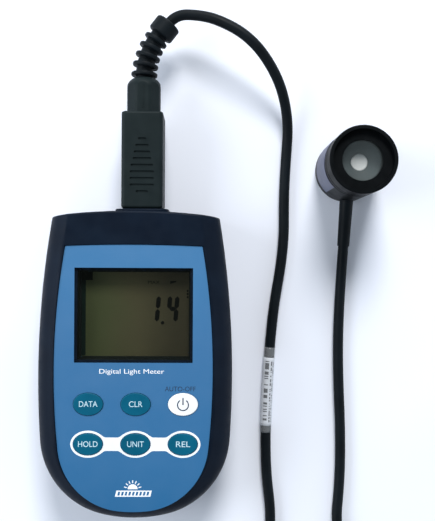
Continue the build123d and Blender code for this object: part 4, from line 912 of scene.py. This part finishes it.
def make_display_marks():
    """The reading 1.4, the small marks, a painted shadow of the window wall along the display's left edge,
    and a painted reflection block in its upper left corner.
    """
    bars = digit("bc", ONE_RIGHT_X - DIGIT_WIDTH, DIGIT_LOW_Y)
    bars += digit("fgbc", FOUR_LEFT_X, DIGIT_LOW_Y)
    bars.append(ellipse(POINT_X, DIGIT_LOW_Y + 0.5, POINT_RADIUS, POINT_RADIUS, 20))
    dark = MATERIALS["segment_ink"]
    pieces = []
    for index, bar in enumerate(bars):
        pieces.append(flat_print("display_bar_%d" % index, [slanted(bar, LEAN, DIGIT_LOW_Y)], LCD_Z, dark))
    battery = [
        rectangle(15.7, 36.7, 18.4, 38.0),
        rectangle(18.4, 37.05, 18.75, 37.65),
    ]
    unit = [rectangle(23.2, 30.3 + 1.4 * i, 23.95, 31.2 + 1.4 * i) for i in range(3)]
    pieces.append(flat_print("display_marks", battery + unit, LCD_Z, dark))
    pieces.append(printed_text("display_hold_mark", "MAX", 8.2, 37.3, LCD_Z, 2.2, 5.2, dark))
    # Painted shadow of the window's left wall, as a dark strip on the display's left edge.
    wall_shadow = rectangle(SHADE_AND_REFLECTION_LEFT_X, WALL_SHADOW_LOW_Y, WALL_SHADOW_RIGHT_X, REFLECTION_LOW_Y)
    # Painted reflection of a dark thing in the window, as a black block in the display's upper left corner.
    reflection = rectangle(SHADE_AND_REFLECTION_LEFT_X, REFLECTION_LOW_Y, REFLECTION_RIGHT_X, REFLECTION_HIGH_Y)
    pieces.append(flat_print("display_painted_wall_shadow", [wall_shadow], LCD_Z, MATERIALS["painted_wall_shadow_ink"]))
    pieces.append(flat_print("display_painted_reflection", [reflection], LCD_Z, dark))
    for piece in pieces:
        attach(piece, "meter")


make_display_marks()


# ------------------------------------------------------------------------ floor and light
FLOOR_HALF_SIZE = 3.0
FLOOR_Z = -0.0002


def make_floor():
    """Plain pale floor."""
    mesh = bpy.data.meshes.new("floor")
    half = FLOOR_HALF_SIZE
    corners = [(-half, -half, 0), (half, -half, 0), (half, half, 0), (-half, half, 0)]
    mesh.from_pydata(corners, [], [(0, 1, 2, 3)])
    material, tree, shader, add = new_material("floor_paper")
    coords = add("ShaderNodeTexCoord").outputs["Object"]
    slow = noise(add, tree, coords, 6, 2.0)
    stops = [(0.3, colour((226, 231, 243))), (0.7, colour((234, 239, 250)))]
    shade = ramp(add, tree, slow.outputs["Fac"], stops)
    tree.links.new(shade.outputs["Color"], shader.inputs["Base Color"])
    shader.inputs["Roughness"].default_value = 0.75
    mesh.materials.append(material)
    floor = link("floor", mesh)
    floor.location = (0, 0, FLOOR_Z)


LIGHT_TARGET = (0.05, 0.03, 0)


def area_light(name, place, size, power, tint):
    """Soft round light aimed at the object."""
    data = bpy.data.lights.new(name, "AREA")
    data.shape = "DISK"
    data.size = size
    data.energy = power
    data.color = tint
    light = link(name, data)
    light.location = place
    aim = Vector(LIGHT_TARGET) - Vector(place)
    light.rotation_euler = aim.to_track_quat("-Z", "Y").to_euler()


def make_sky():
    """Room light: bright all round near the horizon and dark overhead."""
    world = bpy.data.worlds.new("studio")
    world.use_nodes = True
    tree = world.node_tree
    coords = tree.nodes.new("ShaderNodeTexCoord")
    parts = tree.nodes.new("ShaderNodeSeparateXYZ")
    tree.links.new(coords.outputs["Generated"], parts.inputs["Vector"])
    shade = tree.nodes.new("ShaderNodeValToRGB")
    tree.links.new(parts.outputs["Z"], shade.inputs["Fac"])
    levels = [(0.0, 1.1), (0.45, 1.0), (0.8, 0.3), (1.0, 0.12)]
    elements = shade.color_ramp.elements
    for place, _ in levels[1:-1]:
        elements.new(place)
    for element, (place, level) in zip(elements, levels):
        element.position = place
        element.color = (0.86 * level, 0.93 * level, 1.0 * level, 1)
    background = tree.nodes["Background"]
    tree.links.new(shade.outputs["Color"], background.inputs["Color"])
    background.inputs["Strength"].default_value = 0.95
    bpy.context.scene.world = world


def make_light():
    """Soft window light from beyond the probe socket, with a weaker fill from the left."""
    make_sky()
    area_light("key_light", (0.12, 1.05, 0.95), 0.5, 19.0, (1.0, 0.985, 0.96))
    area_light("fill_light", (-1.1, 0.15, 0.8), 0.9, 10.0, (0.92, 0.96, 1.0))
    bpy.context.scene.view_settings.view_transform = "Standard"


make_floor()
make_light()
